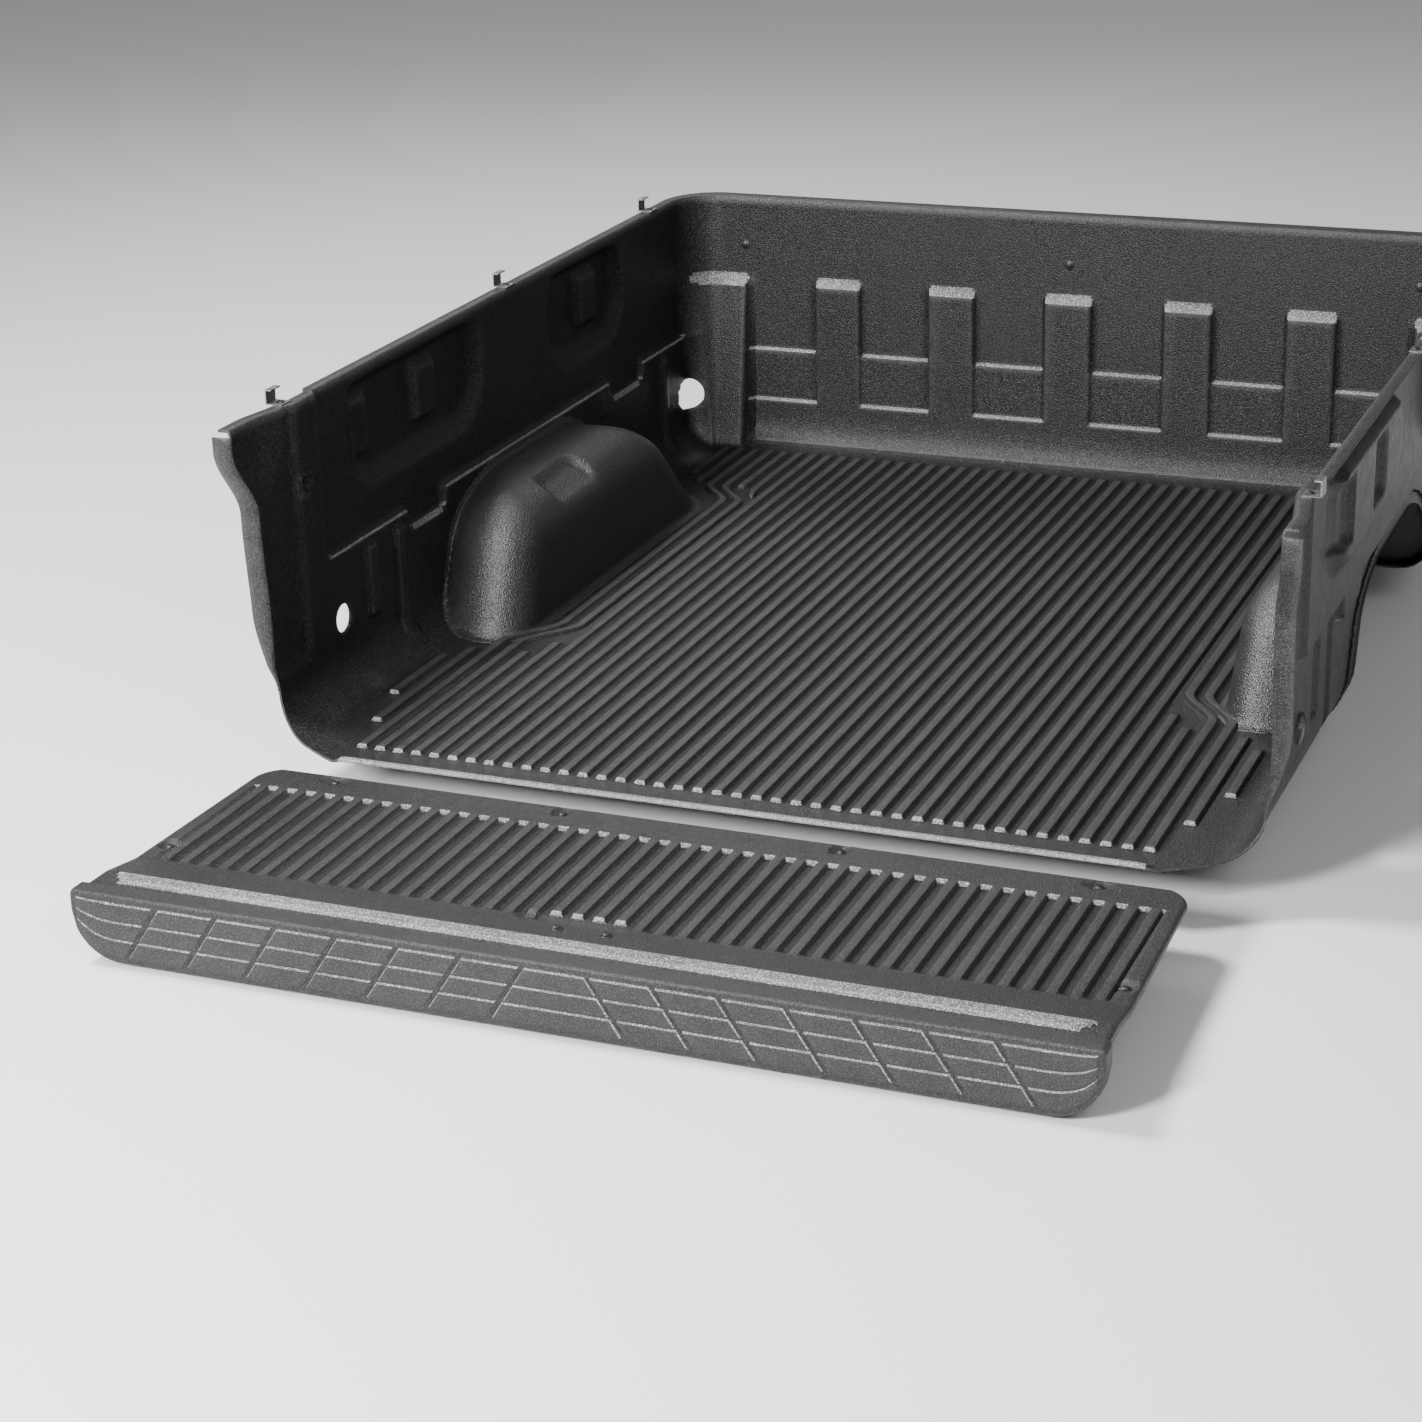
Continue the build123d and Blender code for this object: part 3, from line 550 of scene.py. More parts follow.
def side_out(y, z):
    """How far the side wall stands out from its foot."""
    out = STEP * ease(LEDGE_LOW, LEDGE_HIGH, z) * ease(*LEDGE_START, y)
    out = out + REAR_OUT * (1 - ease(*REAR_OUT_Y, y)) * ease(*REAR_OUT_Z, z)
    out = out + REAR_TOP_OUT * (1 - ease(*REAR_TOP_Y, y)) * ease(*REAR_TOP_Z, z)
    for box in NOTCHES:
        out = np.maximum(out, STEP * moulded(y, z, box, NOTCH_EDGE))
    for box in RECESSES:
        out = out + RECESS_DEPTH * moulded(y, z, box, RECESS_EDGE) * (1 - ease(*RECESS_FADE, z))
    for box in BUMPS:
        out = out - BUMP_DEPTH * moulded(y, z, box, BUMP_EDGE)
    for box in LOWER_RIBS:
        out = out - LOWER_RIB_DEPTH * moulded(y, z, box, LOWER_RIB_EDGE)
    out = out - DENT_DEPTH * moulded(y, z, DENT, DENT_EDGE)
    reach = np.hypot(y - BOSS_Y, z - BOSS_Z)
    boss = BOSS_HEIGHT * (1 - ease(*BOSS_EDGE, reach))
    return out - boss + DISH_DEPTH * (1 - ease(*DISH_EDGE, reach))


# The front wall's pads: their middles, half-width and bevel, and the heights of their sloped tops
PADS = [(i - 2) * 253.0 for i in range(5)]
PAD_HALF, PAD_BEVEL, PAD_LOW, PAD_HIGH = 50.0, 4.0, 353, 377
# The corner pads: where they begin, how far in they lean at the floor, and the height they lean from
CORNER_PAD, CORNER_PAD_DEPTH, CORNER_PAD_TOP = 710.0, 46, 362
# Between the pads the wall steps out twice, each time over twice this much height
PANEL_STEPS, PANEL_BEVEL = (105, 215), 3
# The front wall takes the floor's own columns beyond this distance from the centre line
FRONT_INNER = 690


def front_out(x, z):
    """How far the front wall stands out from its foot."""
    first, second = (ease(step - PANEL_BEVEL, step + PANEL_BEVEL, z) for step in PANEL_STEPS)
    panel = STEP / 2 * (first + second)
    pad = STEP * ease(PAD_LOW, PAD_HIGH, z)
    for middle in PADS:
        share = 1 - ease(PAD_HALF - PAD_BEVEL, PAD_HALF + PAD_BEVEL, np.abs(x - middle))
        panel = panel * (1 - share) + pad * share
    share = ease(CORNER_PAD - 6, CORNER_PAD + 8, np.abs(x))
    corner = pad - CORNER_PAD_DEPTH * np.clip(1 - z / CORNER_PAD_TOP, 0, 1)
    return panel * (1 - share) + corner * share


def wall_section(squareness, flange):
    """The whole section of a wall: (out, height, share of outward movement)."""
    out, height, share = section(squareness)
    over = [ROUND_TOP * 0.3, ROUND_TOP, ROUND_TOP + 6, flange]
    top = [TOP - ROUND_TOP * 0.3, TOP, TOP, TOP]
    out = np.concatenate([out, np.full(len(Z_ROWS), CORNER), CORNER + np.array(over)])
    height = np.concatenate([height, Z_ROWS, top])
    share = np.concatenate([share, np.ones(len(Z_ROWS) + len(top))])
    return out, height, share


def build_sides(sheet):
    """Both side walls and the strips that turn outwards along their rear edges."""
    out, height, share = wall_section(2.0, SIDE_FLANGE)
    y = np.repeat(Y_ROWS[:, None], len(out), 1)
    z = np.repeat(height[None, :], len(Y_ROWS), 0)
    edge = np.where(height > SHEET + CORNER, rear_edge_wall(height), rear_edge_floor(FLAT + out))
    y = settle(y, np.repeat(edge[None, :], len(Y_ROWS), 0))
    moved = FLAT + out[None, :] + share[None, :] * side_out(y, z)
    sheet.grid(-moved, y, z, flip=True)
    sheet.grid(moved, y, z)
    # The rear edge turns outwards, round the truck's pillar
    rise = (height > TURN_FROM) & (height < TOP - 4)
    turns = [(0.0, 0.0), (0.06, -0.25), (0.25, -0.5), (0.6, -0.6), (1.0, -0.6)]  # out, along Y
    wide = TURN_NARROW + TURN_GROWTH * ease(TURN_FROM, TURN_FULL, height[rise])
    x_turn = np.stack([moved[0, rise] + wide * across for across, _ in turns])
    y_turn = np.stack([y[0, rise] + np.minimum(wide, TURN_BACK) * along for _, along in turns])
    z_turn = np.stack([z[0, rise]] * len(turns))
    sheet.grid(-x_turn, y_turn, z_turn)
    sheet.grid(x_turn, y_turn, z_turn, flip=True)


def build_corners(sheet):
    """The rounded corners, where the side walls' section turns into the front wall's."""
    angles = np.radians(np.linspace(0, 90, 15))
    for sign in (-1, 1):
        x, y, z = [], [], []
        for angle in angles:
            turn = ease(0, math.pi / 2, angle)
            squareness = 2.0 + (FRONT_SQUARENESS - 2.0) * turn
            out, height, share = wall_section(
                squareness, SIDE_FLANGE + (FRONT_FLANGE - SIDE_FLANGE) * turn
            )
            late = ease(0, math.radians(55), angle)
            side = side_out(np.full(len(height), FLAT_FRONT), height)
            front = front_out(np.full(len(height), FLAT), height)
            reach = out + share * (side * (1 - late) + front * late)
            x.append(sign * (FLAT + reach * math.cos(angle)))
            y.append(FLAT_FRONT + reach * math.sin(angle))
            z.append(height)
        sheet.grid(np.array(x), np.array(y), np.array(z), flip=sign < 0)


def build_front(sheet):
    """The front wall, from the end of the floor's grid to its flange."""
    bevels = (PAD_HALF - PAD_BEVEL, PAD_HALF, PAD_HALF + PAD_BEVEL)
    edges = [middle + side * across for middle in PADS for side in (-1, 1) for across in bevels]
    outer = [x for x, _, _ in floor_arrays() if abs(x) > FRONT_INNER]
    inner = union(edges + list(np.arange(2 - FRONT_INNER, FRONT_INNER - 2, 14)), 3.5)
    x_columns = np.array(sorted(outer + [x for x in inner if abs(x) < FRONT_INNER]))
    whole = wall_section(FRONT_SQUARENESS, FRONT_FLANGE)
    out, height, share = (values[ARC_ON_FLOOR:] for values in whole)
    x = np.repeat(x_columns[None, :], len(out), 0)
    z = np.repeat(height[:, None], len(x_columns), 1)
    y = FLAT_FRONT + out[:, None] + share[:, None] * front_out(x, z)
    sheet.grid(x, y, z)


# Wheel-well covers --------------------------------------------------------------------------------
def base_gap(x, z):
    """Distance from the floor and the left wall, into the cargo space."""
    wall = x + SIDE + STEP * ease(LEDGE_LOW, LEDGE_HIGH, z)
    floor = z - SHEET
    near = CORNER - np.hypot(CORNER - wall, CORNER - floor)
    inside = (wall < CORNER) & (floor < CORNER)
    return np.where(inside, near, np.minimum(wall, floor))


# The left cover's faces, each a point on it and its normal
WELL_PLANES = [
    ((-642.0, 0.0, 0.0), (1.0, 0.0, 0.07)),
    ((0.0, 0.0, WELL_TOP), (0.0, 0.0, 1.0)),
    ((-700.0, 534.0, 0.0), (0.0, -1.0, 0.42)),
    ((-836.0, 646.0, 0.0), (-0.85, -0.49, 0.2)),
    ((-700.0, 1482.0, 0.0), (0.0, 0.74, 0.67)),
]
# Radius of the edges between them
WELL_ROUND = 88.0
# The cover's grid is pushed out from a line outside and below it, at this x and z, between two ys
RAY_X, RAY_Z, RAY_REAR, RAY_FRONT = -950.0, -110.0, 760, 1240
# Where that grid ends on the floor and on the wall, and at the rear and the front
WELL_INNER, WELL_CEILING, WELL_SPACING = -596.0, 330, 4.5
WELL_REAR, WELL_FRONT, WELL_ROW_SPACING = 470, 1570, 7.0
# The pocket in its top, from low x to high x and from low y to high y
POCKET, POCKET_DEPTH = (-733, -655, 812, 992), 15
# How the opening's rim is smoothed: rounds, and the most that a point moves in one
RIM_ROUNDS, RIM_STEP = 4, 4


def well_gap(x, y, z):
    """Distance from the left wheel-well cover, positive in the cargo space."""
    total = np.zeros_like(x)
    largest = np.full_like(x, -1e9)
    for point, normal in WELL_PLANES:
        length = math.sqrt(sum(n * n for n in normal))
        gap = (x - point[0]) * normal[0] + (y - point[1]) * normal[1] + (z - point[2]) * normal[2]
        gap = gap / length + WELL_ROUND
        largest = np.maximum(largest, gap)
        total = total + np.maximum(gap, 0) ** 2
    return np.sqrt(total) + np.minimum(largest, 0) - WELL_ROUND


def blended_gap(x, y, z, soft=13.0):
    """The two distances joined with a soft fillet."""
    a, b = base_gap(x, z), well_gap(x, y, z)
    h = np.clip(0.5 + 0.5 * (b - a) / soft, 0, 1)
    return b * (1 - h) + a * h - soft * h * (1 - h)


def build_well():
    """The left cover: a base strip pushed out along rays until it meets the blended surface."""
    theta = np.radians(np.arange(0, 91, 6))
    floor_x = np.arange(WELL_INNER, -FLAT, -WELL_SPACING)
    fillet_x, fillet_z = -FLAT - CORNER * np.sin(theta), SHEET + CORNER * (1 - np.cos(theta))
    wall_z = np.arange(SHEET + CORNER + 4, WELL_CEILING, WELL_SPACING)
    wall_x = -SIDE - STEP * ease(LEDGE_LOW, LEDGE_HIGH, wall_z)
    base_x = np.concatenate([floor_x, fillet_x, wall_x])
    base_z = np.concatenate([np.full(len(floor_x), SHEET), fillet_z, wall_z])
    y_rows = np.arange(WELL_REAR, WELL_FRONT, WELL_ROW_SPACING)
    x0 = np.repeat(base_x[None, :], len(y_rows), 0)
    z0 = np.repeat(base_z[None, :], len(y_rows), 0)
    y0 = np.repeat(y_rows[:, None], len(base_x), 1)
    cx, cy, cz = RAY_X, np.clip(y0, RAY_REAR, RAY_FRONT), RAY_Z
    low, high = np.ones_like(x0), np.full_like(x0, 4.0)
    for _ in range(40):
        t = (low + high) / 2
        gap = blended_gap(cx + (x0 - cx) * t, cy + (y0 - cy) * t, cz + (z0 - cz) * t)
        low, high = np.where(gap < 0, t, low), np.where(gap < 0, high, t)
    x, y, z = cx + (x0 - cx) * low, cy + (y0 - cy) * low, cz + (z0 - cz) * low
    moved = np.sqrt((x - x0) ** 2 + (y - y0) ** 2 + (z - z0) ** 2)
    pocket = rounded_box(x + 0.05 * (y - 900), y, POCKET, 34)
    z = z - POCKET_DEPTH * ease(-1, 8, -pocket) * ease(180, 215, z)
    return x, y, z, moved


def well_mesh(name, side):
    """A cover's mesh; side is -1 for the left one and 1 for the right one."""
    x, y, z, moved = build_well()
    quads = grid_quads(*x.shape)
    quads = quads[(moved.ravel()[quads] > 0.3).any(1)]
    points = np.stack([x * -side, y, z], -1).reshape(-1, 3) * 0.001
    data = bpy.data.meshes.new(name)
    data.from_pydata(points.tolist(), [], (quads if side > 0 else quads[:, ::-1]).tolist())
    work = bmesh.new()
    work.from_mesh(data)
    write_mesh(work, data)
    return data


def smooth_rim(points):
    """Draws the rim of the opening behind a cover, where it lies on a side wall, onto an even line."""
    moved = points.copy()
    on_wall = (np.abs(moved[:, 0]) > SIDE - 1) & (moved[:, 2] > SHEET + CORNER)
    for _ in range(RIM_ROUNDS):
        x, y, z = -np.abs(moved[:, 0]), moved[:, 1], moved[:, 2]
        gap = well_gap(x, y, z) + OPENING_INSET
        slope_y = (well_gap(x, y + 1, z) - well_gap(x, y - 1, z)) / 2
        slope_z = (well_gap(x, y, z + 1) - well_gap(x, y, z - 1)) / 2
        step = np.where(on_wall, gap / np.maximum(slope_y**2 + slope_z**2, 0.2), 0)
        moved[:, 1] -= np.clip(step * slope_y, -RIM_STEP, RIM_STEP)
        moved[:, 2] -= np.clip(step * slope_z, -RIM_STEP, RIM_STEP)
    return moved


def under_well(centres):
    """Faces of the tub sheet that lie well inside a cover."""
    x, y, z = -np.abs(centres[:, 0]), centres[:, 1], centres[:, 2]
    return (well_gap(x, y, z) < -OPENING_INSET) & (z < WELL_TOP)


def tub_wear_and_highlights(centres, normals):
    """The worn rear bead, and painted highlights on the ribs' rear ends, the pads' sloped tops, the
    ledge and the panel steps.
    """
    x, y, z = centres.T
    up = normals[:, 2]
    bead = (np.abs(y - (REAR + BEAD_HALF)) < BEAD_HALF - 1) & (np.abs(x) < 686) & (z > SHEET + 2)
    on_rib = (z > SHEET + 1.0) & (z < SHEET + RIB_HEIGHT + 0.2)
    ends = on_rib & (normals[:, 1] < -0.3) & (y < RIB_STARTS_END)
    on_front = y > FLAT_FRONT + 40
    pad_tops = (z > PAD_LOW) & (z < PAD_HIGH + 1) & on_front & (up > 0.25)
    step_low, step_high = PANEL_STEPS
    steps = np.minimum(np.abs(z - step_low), np.abs(z - step_high)) < PANEL_BEVEL
    at_wall = (np.abs(x) > SIDE) & (np.abs(x) < SIDE + 5) & (y > 240)
    ledge = at_wall & (z > 200) & (z < 250) & (up > 0.4)
    return bead | ends | pad_tops | ledge | (steps & on_front & (up > 0.5))


# Tie-down holes: the rear ones point along X; the front ones are in the rounded corners, placed
# some way round from the side wall and turned from X. A cut starts a little inside the wall
REAR_TIE_Y, REAR_TIE_Z, REAR_TIE_RADIUS = 267.0, 127.0, 26.0
FRONT_TIE_Z, FRONT_TIE_RADIUS = 118.0, 34.0
FRONT_TIE_PLACE, FRONT_TIE_TURN = math.radians(12), math.radians(45)
TIE_START = 60
tub = Sheet()
build_floor(tub)
build_sides(tub)
build_corners(tub)
build_front(tub)
tie_holes = []
for side in (-1, 1):
    start = (side * (SIDE - TIE_START), REAR_TIE_Y, REAR_TIE_Z)
    tie_holes.append((start, (side, 0, 0), REAR_TIE_RADIUS))
    turned = (side * math.cos(FRONT_TIE_TURN), math.sin(FRONT_TIE_TURN), 0)
    foot_x = side * (FLAT + CORNER * math.cos(FRONT_TIE_PLACE))
    foot_y = FLAT_FRONT + CORNER * math.sin(FRONT_TIE_PLACE)
    start = (foot_x - TIE_START * turned[0], foot_y - TIE_START * turned[1], FRONT_TIE_Z)
    tie_holes.append((start, turned, FRONT_TIE_RADIUS))
tub_mesh = tub.mesh("tub_sheet", drop=under_well, holes=tie_holes)
TUB_NODES = ("tub_floor", "front_wall", "side_wall_left", "side_wall_right")
piece("tub_sheet", tub_mesh, "tub", TUB_NODES, TUB)
# Paler faces: a worn rear bead, and painted highlights on the ribs' rear ends, the pads' sloped tops,
# the ledge and the panel steps
paint_worn_and_highlit_faces(tub_mesh, TUB_WORN_AND_HIGHLIT, tub_wear_and_highlights)
for label, side in (("left", -1), ("right", 1)):
    cover = well_mesh(f"wheel_well_cover_{label}", side)
    piece(f"wheel_well_cover_{label}", cover, "tub", (f"wheel_well_{label}",), WELL)


# Tailgate sheet -----------------------------------------------------------------------------------
GATE_HINGE, GATE_OUTER = -130.0, -676.0
GATE_HALF_HINGE, GATE_HALF_OUTER, GATE_ROUND, GATE_EDGE = 772.0, 788.0, 50.0, 9
GATE_RIB_COUNT, GATE_PITCH = 44, 34.2
GATE_RIBS = [(i - (GATE_RIB_COUNT - 1) / 2) * GATE_PITCH for i in range(GATE_RIB_COUNT)]
# Columns of the rim outside the ribs, as shares of its width
BORDER_STEPS = np.array([0.0, 0.05, 0.1, 0.17, 0.26, 0.38, 0.52, 0.68, 0.84, 1.0])
RIB_FRONT, LATCH_BACK = -205.0, -497.0
# Beyond the grooves' outer ends the panel is at rib height, and then slopes up
PLATEAU_FROM, PLATEAU_TO, RISE, RISE_TO = -500.0, -524.0, 11.0, -600.0
STRIP_Y, STRIP_HALF, STRIP_HEIGHT, STRIP_REACH = -622.0, 17.0, 5.0, 758.0
LATCH_X = -GATE_PITCH
LATCH_FADE, LATCH_PLATEAU = (56, 74), (-531, -535)
SCREW_DIMPLE = (11, 19)
# A finger scoop beside the latch: how far left of it, its place along Y, stretch, edge and depth
SCOOP_ASIDE, SCOOP_Y, SCOOP_STRETCH, SCOOP_EDGE, SCOOP_DEPTH = 80, -517, 1.5, (6, 20), 6
GATE_SCREWS = [
    (side * across, along)
    for side in (-1, 1)
    for across, along in ((757, -463), (635, -152), (232, -152))
]


def gate_half(y):
    """Half-width of the tailgate sheet, with its rounded hinge corners."""
    share = (GATE_HINGE - y) / (GATE_HINGE - GATE_OUTER)
    half = GATE_HALF_HINGE + (GATE_HALF_OUTER - GATE_HALF_HINGE) * share
    deep = np.clip(GATE_HINGE - y, 0, GATE_ROUND)
    return half - GATE_ROUND + np.sqrt(GATE_ROUND**2 - (GATE_ROUND - deep) ** 2)


def build_gate():
    """The panel on the tailgate, whose grooves are sunk below its rim."""
    y_rows = np.array(
        rows_between(
            (GATE_HINGE, GATE_HINGE - 10, 1.2), (GATE_HINGE - 10, -180, 4), (-180, -203, 6),
            (-203, -217, 2.0), (-217, -440, 13), (-440, -484, 5), (-484, -536, 2.5), (-536, -574, 9),
            (-574, -601, 7), (-601, -646, 2.4), (-646, GATE_OUTER, 6),
        )
        + [GATE_OUTER]
    )
    columns = []
    for step in BORDER_STEPS[:-1]:
        columns.append((-1, step, None, 0.0))
    for number, middle in enumerate(GATE_RIBS):
        for offset, share in zip(RIB_OFFSETS, RIB_PROFILE):
            columns.append((0, middle + offset, number, share))
    for step in (1 - BORDER_STEPS[::-1])[1:]:
        columns.append((1, step, None, 0.0))
    outer_rib = GATE_RIBS[-1] + RIB_OFFSETS[-1]
    x = np.zeros((len(y_rows), len(columns)))
    z = x.copy()
    half = gate_half(y_rows)
    inner = np.minimum(outer_rib, half - 3)
    for index, (zone, where, number, share) in enumerate(columns):
        if zone == -1:
            x[:, index] = -half + (half - inner) * where
        elif zone == 1:
            x[:, index] = inner + (half - inner) * where
        else:
            x[:, index] = where * inner / outer_rib
        outer_level = ease(PLATEAU_FROM, PLATEAU_TO, y_rows)
        near_latch = 1 - ease(*LATCH_FADE, np.abs(x[:, index] - LATCH_X))
        latch_level = ease(*LATCH_PLATEAU, y_rows)
        outer_level = outer_level * (1 - near_latch) + latch_level * near_latch
        level = np.maximum(outer_level, ease(RIB_FRONT - 9, RIB_FRONT, y_rows))
        if zone != 0:
            level = np.ones_like(y_rows)
        slope = RISE * np.clip((PLATEAU_TO - y_rows) / (PLATEAU_TO - RISE_TO), 0, 1)
        ribs = np.zeros_like(y_rows)
        if number is not None:
            ribs = share * np.ones_like(y_rows)
            if abs(GATE_RIBS[number] - LATCH_X) < 2 * GATE_PITCH:
                ribs = ribs * (1 - ease(LATCH_BACK + 3, LATCH_BACK - 4, y_rows))
        z[:, index] = SHEET + RIB_HEIGHT * np.maximum(level, ribs) + slope
    y = np.repeat(y_rows[:, None], len(columns), 1)
    strip = 1 - ease(STRIP_HALF - 4, STRIP_HALF, np.abs(y - STRIP_Y))
    mitre = STRIP_REACH - 0.8 * (STRIP_Y + STRIP_HALF - y)
    z = z + STRIP_HEIGHT * strip * (1 - ease(-3, 3, np.abs(x) - mitre))
    for screw_x, screw_y in GATE_SCREWS:
        near = 1 - ease(*SCREW_DIMPLE, np.hypot(x - screw_x, y - screw_y))
        z = z - RIB_HEIGHT * near
    scoop_reach = np.hypot((x - LATCH_X + SCOOP_ASIDE) / SCOOP_STRETCH, y - SCOOP_Y)
    z = z - SCOOP_DEPTH * (1 - ease(*SCOOP_EDGE, scoop_reach))
    edge = np.minimum(half[:, None] - np.abs(x), GATE_HINGE - y)
    inward = 1 - np.clip(edge / GATE_EDGE, 0, 1)
    z = z - GATE_EDGE * (1 - np.sqrt(np.clip(1 - inward**2, 0, 1)))
    sheet = Sheet()
    sheet.grid(x, y, z, flip=True)
    return sheet.mesh("tailgate_sheet")


def gate_wear_and_highlights(centres, normals):
    """The worn strip along the outer edge, and painted highlights on the grooves' ends at the hinge
    and beside the latch.
    """
    x, y, z = centres.T
    strip = (np.abs(y - STRIP_Y) < STRIP_HALF) & (z > SHEET + RIB_HEIGHT + RISE + 0.8)
    ends = (np.abs(normals[:, 1]) > 0.35) & (z < SHEET + RIB_HEIGHT + 1) & (z > SHEET + 1.2)
    near_hinge = (y < RIB_FRONT + 1) & (y > RIB_FRONT - 10)
    near_latch = (np.abs(x - LATCH_X) < 66) & (y < LATCH_BACK + 3) & (y > LATCH_BACK - 5)
    return strip | (ends & (near_hinge | near_latch))


gate_mesh = build_gate()
piece("tailgate_sheet", gate_mesh, "tailgate", ("tailgate_liner",), GATE)
# Paler faces: the worn strip, and painted highlights on the grooves' ends at the hinge and beside the
# latch
paint_worn_and_highlit_faces(gate_mesh, GATE_WORN_AND_HIGHLIT, gate_wear_and_highlights)

# Tread cap ----------------------------------------------------------------------------------------
CAP_FACE, CAP_BACK, CAP_HALF = -690.0, -658.0, 792.0
CAP_TOP, CAP_BOTTOM, CAP_ROUND, CAP_EDGE = 26.4, -84.0, 78.0, 5.0
TREAD_FIRST, TREAD_PITCH, TREAD_LEAN, TREAD_GROOVES = 77.5, 99.0, 0.66, 7
TREAD_GAP, TREAD_BEVEL, TREAD_MARGIN, TREAD_HEIGHT = 8.0, 1.8, 11.0, 2.5
TREAD_ROWS, TREAD_ROW_GAP, TREAD_ROW_BEVEL = 3, 0.8, 2.4
# Columns added along the bars, this far apart, but not this close to a bar's edge
TREAD_SPACING, TREAD_CLEAR = 16.0, 5


def bars(low, high, cuts, gap, slope):
    """Positions and heights across a row of bars: 0 in each gap and 1 on each bar."""
    places, heights = [low, low + slope], [0.0, 1.0]
    for cut in cuts:
        places += [cut - gap / 2 - slope, cut - gap / 2, cut + gap / 2, cut + gap / 2 + slope]
        heights += [1.0, 0.0, 0.0, 1.0]
    return places + [high - slope, high], heights + [1.0, 0.0]


def build_cap():
    """The tread cap: leaning bars in three rows, in a panel with rounded lower corners."""
    half, low, high = CAP_HALF - CAP_EDGE, CAP_BOTTOM + CAP_EDGE, CAP_TOP - CAP_EDGE
    middle = (CAP_TOP + CAP_BOTTOM) / 2
    limit = CAP_HALF - TREAD_MARGIN
    grooves = [TREAD_FIRST + i * TREAD_PITCH for i in range(TREAD_GROOVES)]
    x_places, x_heights = bars(
        -limit, limit, [-g for g in reversed(grooves)] + grooves, TREAD_GAP, TREAD_BEVEL
    )
    between = np.arange(-limit + 8, limit - 4, TREAD_SPACING)
    extra = [x for x in between if min(abs(x - place) for place in x_places) > TREAD_CLEAR]
    x_all = np.array([-half, *x_places, half, *extra])
    h_all = np.array([0.0, *x_heights, 0.0, *[1.0] * len(extra)])
    order = np.argsort(x_all, kind="stable")
    x_all, h_all = x_all[order], h_all[order]
    bottom, top = CAP_BOTTOM + TREAD_MARGIN, CAP_TOP - TREAD_MARGIN
    row = (top - bottom) / TREAD_ROWS
    row_cuts = [bottom + row * i for i in range(1, TREAD_ROWS)]
    z_places, z_heights = bars(bottom, top, row_cuts, TREAD_ROW_GAP, TREAD_ROW_BEVEL)
    z_extra = [bottom + row * (i + 0.5) for i in range(TREAD_ROWS)]
    z_all = np.array([low, *z_places, high, *z_extra])
    v_all = np.array([0.0, *z_heights, 0.0, *[1.0] * TREAD_ROWS])
    order = np.argsort(z_all, kind="stable")
    z_all, v_all = z_all[order], v_all[order]
    x0, z0 = np.meshgrid(x_all, z_all)
    size = np.abs(x0)
    lean = np.interp(size, [0, TREAD_FIRST, grooves[-1], limit], [0, 1, 1, 0])
    x = x0 - np.sign(x0) * (z0 - middle) * TREAD_LEAN * lean
    past = np.clip(np.abs(x) - (CAP_HALF - CAP_ROUND), 0, CAP_ROUND - CAP_EDGE)
    radius = CAP_ROUND - CAP_EDGE
    floor_z = low + radius - np.sqrt(np.clip(radius**2 - past**2, 0, None))
    z = high - (high - z0) * (high - floor_z) / (high - low)
    y = CAP_FACE - TREAD_HEIGHT * np.outer(v_all, h_all)
    sheet = Sheet()
    sheet.grid(x, y, z)
    # Rings from the face's border back round the edge and along the lips
    loop = [(i, 0) for i in range(len(z_all))] + [(len(z_all) - 1, j) for j in range(1, len(x_all))]
    loop += [(i, len(x_all) - 1) for i in range(len(z_all) - 2, -1, -1)]
    loop += [(0, j) for j in range(len(x_all) - 2, -1, -1)]
    px = np.array([x[i, j] for i, j in loop])
    pz = np.array([z[i, j] for i, j in loop])
    tangent_x = np.roll(px[:-1], -1) - np.roll(px[:-1], 1)
    tangent_z = np.roll(pz[:-1], -1) - np.roll(pz[:-1], 1)
    length = np.hypot(tangent_x, tangent_z)
    normal_x = np.append(-tangent_z / length, -tangent_z[0] / length[0])
    normal_z = np.append(tangent_x / length, tangent_x[0] / length[0])
    turns = [(0.0, 0.0), (0.38, 0.08), (0.71, 0.29), (0.92, 0.62), (1.0, 1.0)]
    ring_x = [px + normal_x * CAP_EDGE * out for out, _ in turns] + [px + normal_x * CAP_EDGE]
    ring_z = [pz + normal_z * CAP_EDGE * out for out, _ in turns] + [pz + normal_z * CAP_EDGE]
    ring_y = [np.full_like(px, CAP_FACE + CAP_EDGE * back) for _, back in turns]
    ring_y.append(np.full_like(px, CAP_BACK))
    sheet.grid(np.array(ring_x), np.array(ring_y), np.array(ring_z))
    return sheet.mesh("tread_cap_sheet")


def cap_painted_highlights(centres, normals):
    """The upper bevels of the tread's bars, which get a painted highlight where light from above
    catches them.
    """
    return (centres[:, 1] < CAP_FACE - 0.2) & (normals[:, 2] > 0.35)


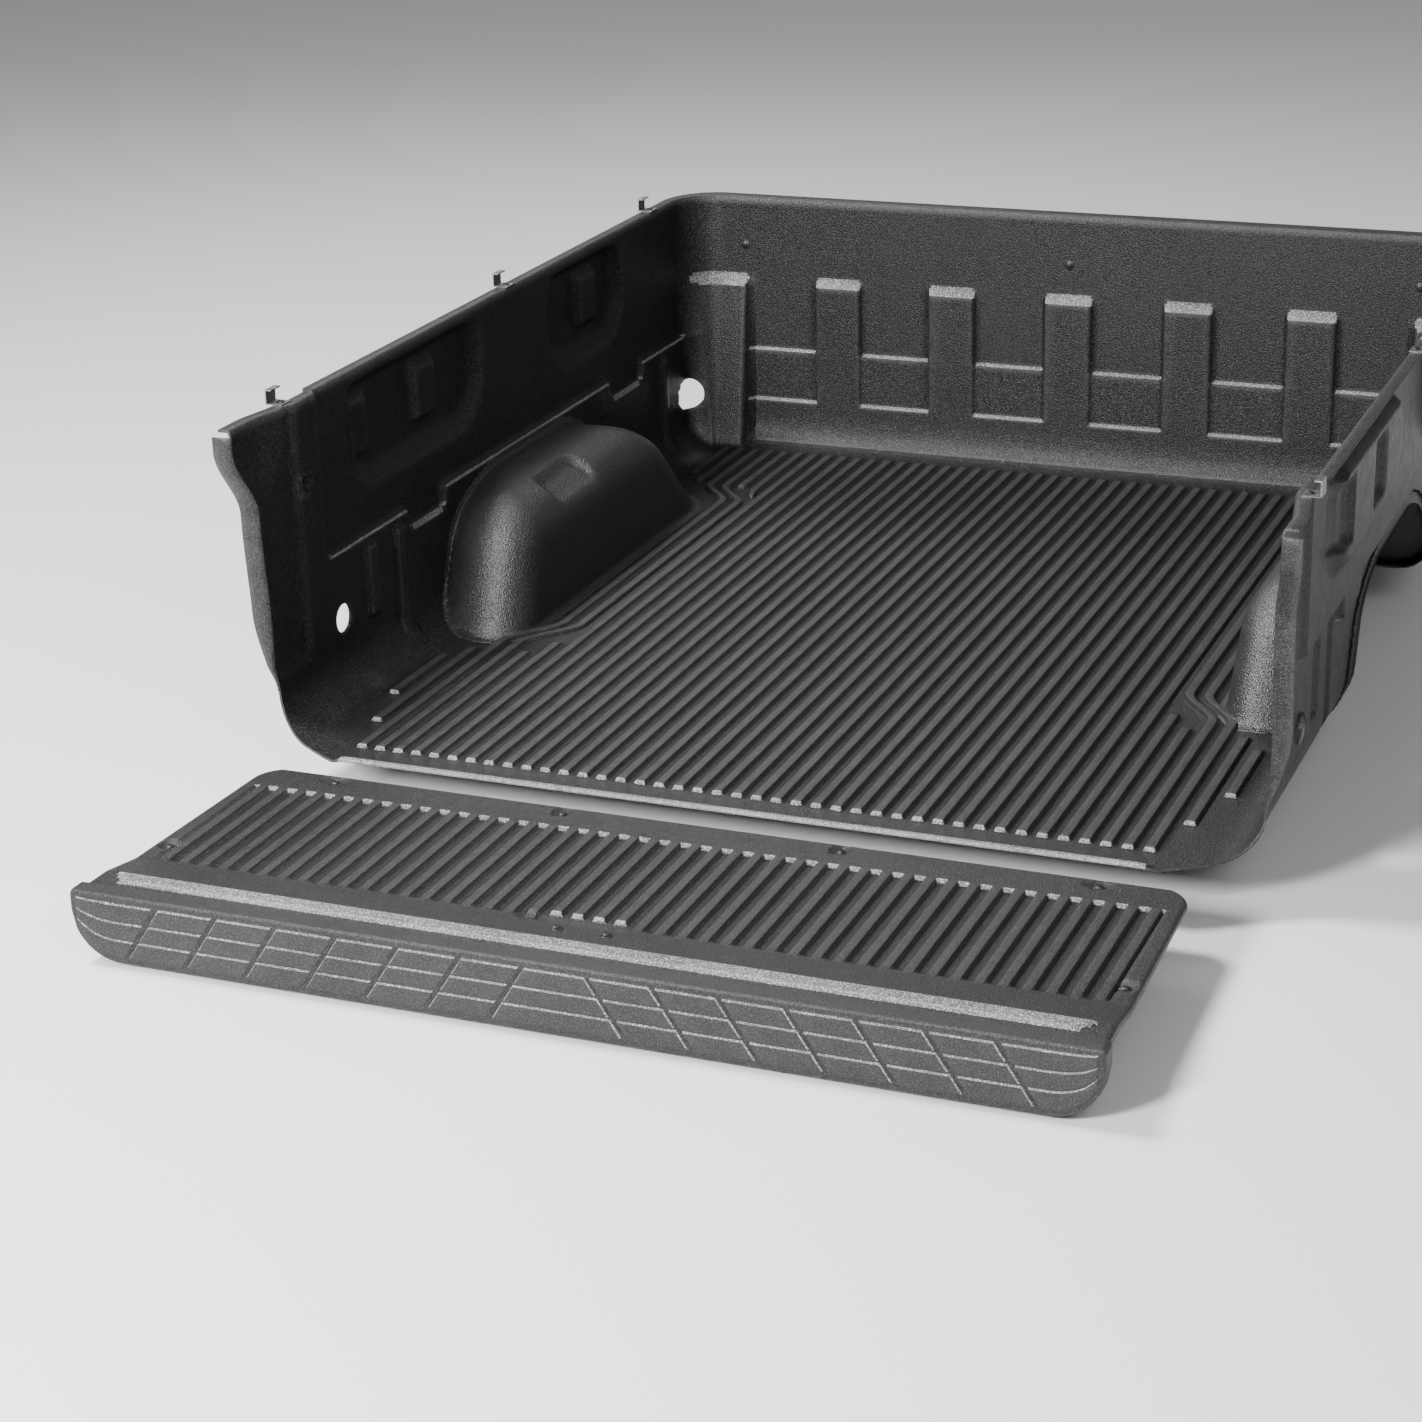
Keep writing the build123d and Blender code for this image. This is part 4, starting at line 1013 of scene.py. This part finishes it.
cap_mesh = build_cap()
piece("tread_cap_sheet", cap_mesh, "tailgate", ("tailgate_cap",), GATE)
# Painted highlight: the bars' upper bevels get the paler material, where light from above catches them
paint_worn_and_highlit_faces(cap_mesh, GATE_WORN_AND_HIGHLIT, cap_painted_highlights)

# Carried-over CAD pieces --------------------------------------------------------------------------
for label, obj in frame["nodes"].items():
    if obj.hide_render:
        continue
    obj.data.materials.clear()
    obj.data.materials.append(CLIP if "clips" in label else SCREW)

# Stage, light -------------------------------------------------------------------------------------
def plane(name, size, location, colour):
    """A plain floor."""
    data = bpy.data.meshes.new(name)
    half = size / 2
    corners = [(-half, -half, 0), (half, -half, 0), (half, half, 0), (-half, half, 0)]
    data.from_pydata(corners, [], [(0, 1, 2, 3)])
    obj = bpy.data.objects.new(name, data)
    obj.location = location
    bpy.context.scene.collection.objects.link(obj)
    material = bpy.data.materials.new(name)
    material.use_nodes = True
    shader = material.node_tree.nodes["Principled BSDF"]
    shader.inputs["Base Color"].default_value = colour
    shader.inputs["Roughness"].default_value = 0.9
    data.materials.append(material)


plane("studio_floor", 40.0, (0, 0, cad_low.z - 0.003), grey(0.9))


def lamp(name, location, target, size, power):
    """A square softbox aimed at a point."""
    data = bpy.data.lights.new(name, "AREA")
    data.size = size
    data.energy = power
    obj = bpy.data.objects.new(name, data)
    obj.location = location
    obj.rotation_euler = (Vector(target) - Vector(location)).to_track_quat("-Z", "Y").to_euler()
    bpy.context.scene.collection.objects.link(obj)


lamp("key", (-0.95, -4.05, 2.25), (-0.3, 0.5, 0.1), size=0.8, power=380)
lamp("top", (-2.5, -0.5, 4.6), (0, 0.4, 0), size=1.3, power=400)
lamp("back", (-2.0, 4.4, 3.6), (0, 0.6, 0), size=1.6, power=50)
lamp("fill", (3.4, -3.0, 3.8), (0, 0.4, 0), size=2.4, power=90)
world = bpy.data.worlds.new("studio")
bpy.context.scene.world = world
world.use_nodes = True
sky = world.node_tree.nodes["Background"]
sky.inputs["Color"].default_value = (0.95, 0.96, 0.98, 1)
sky.inputs["Strength"].default_value = 0.22
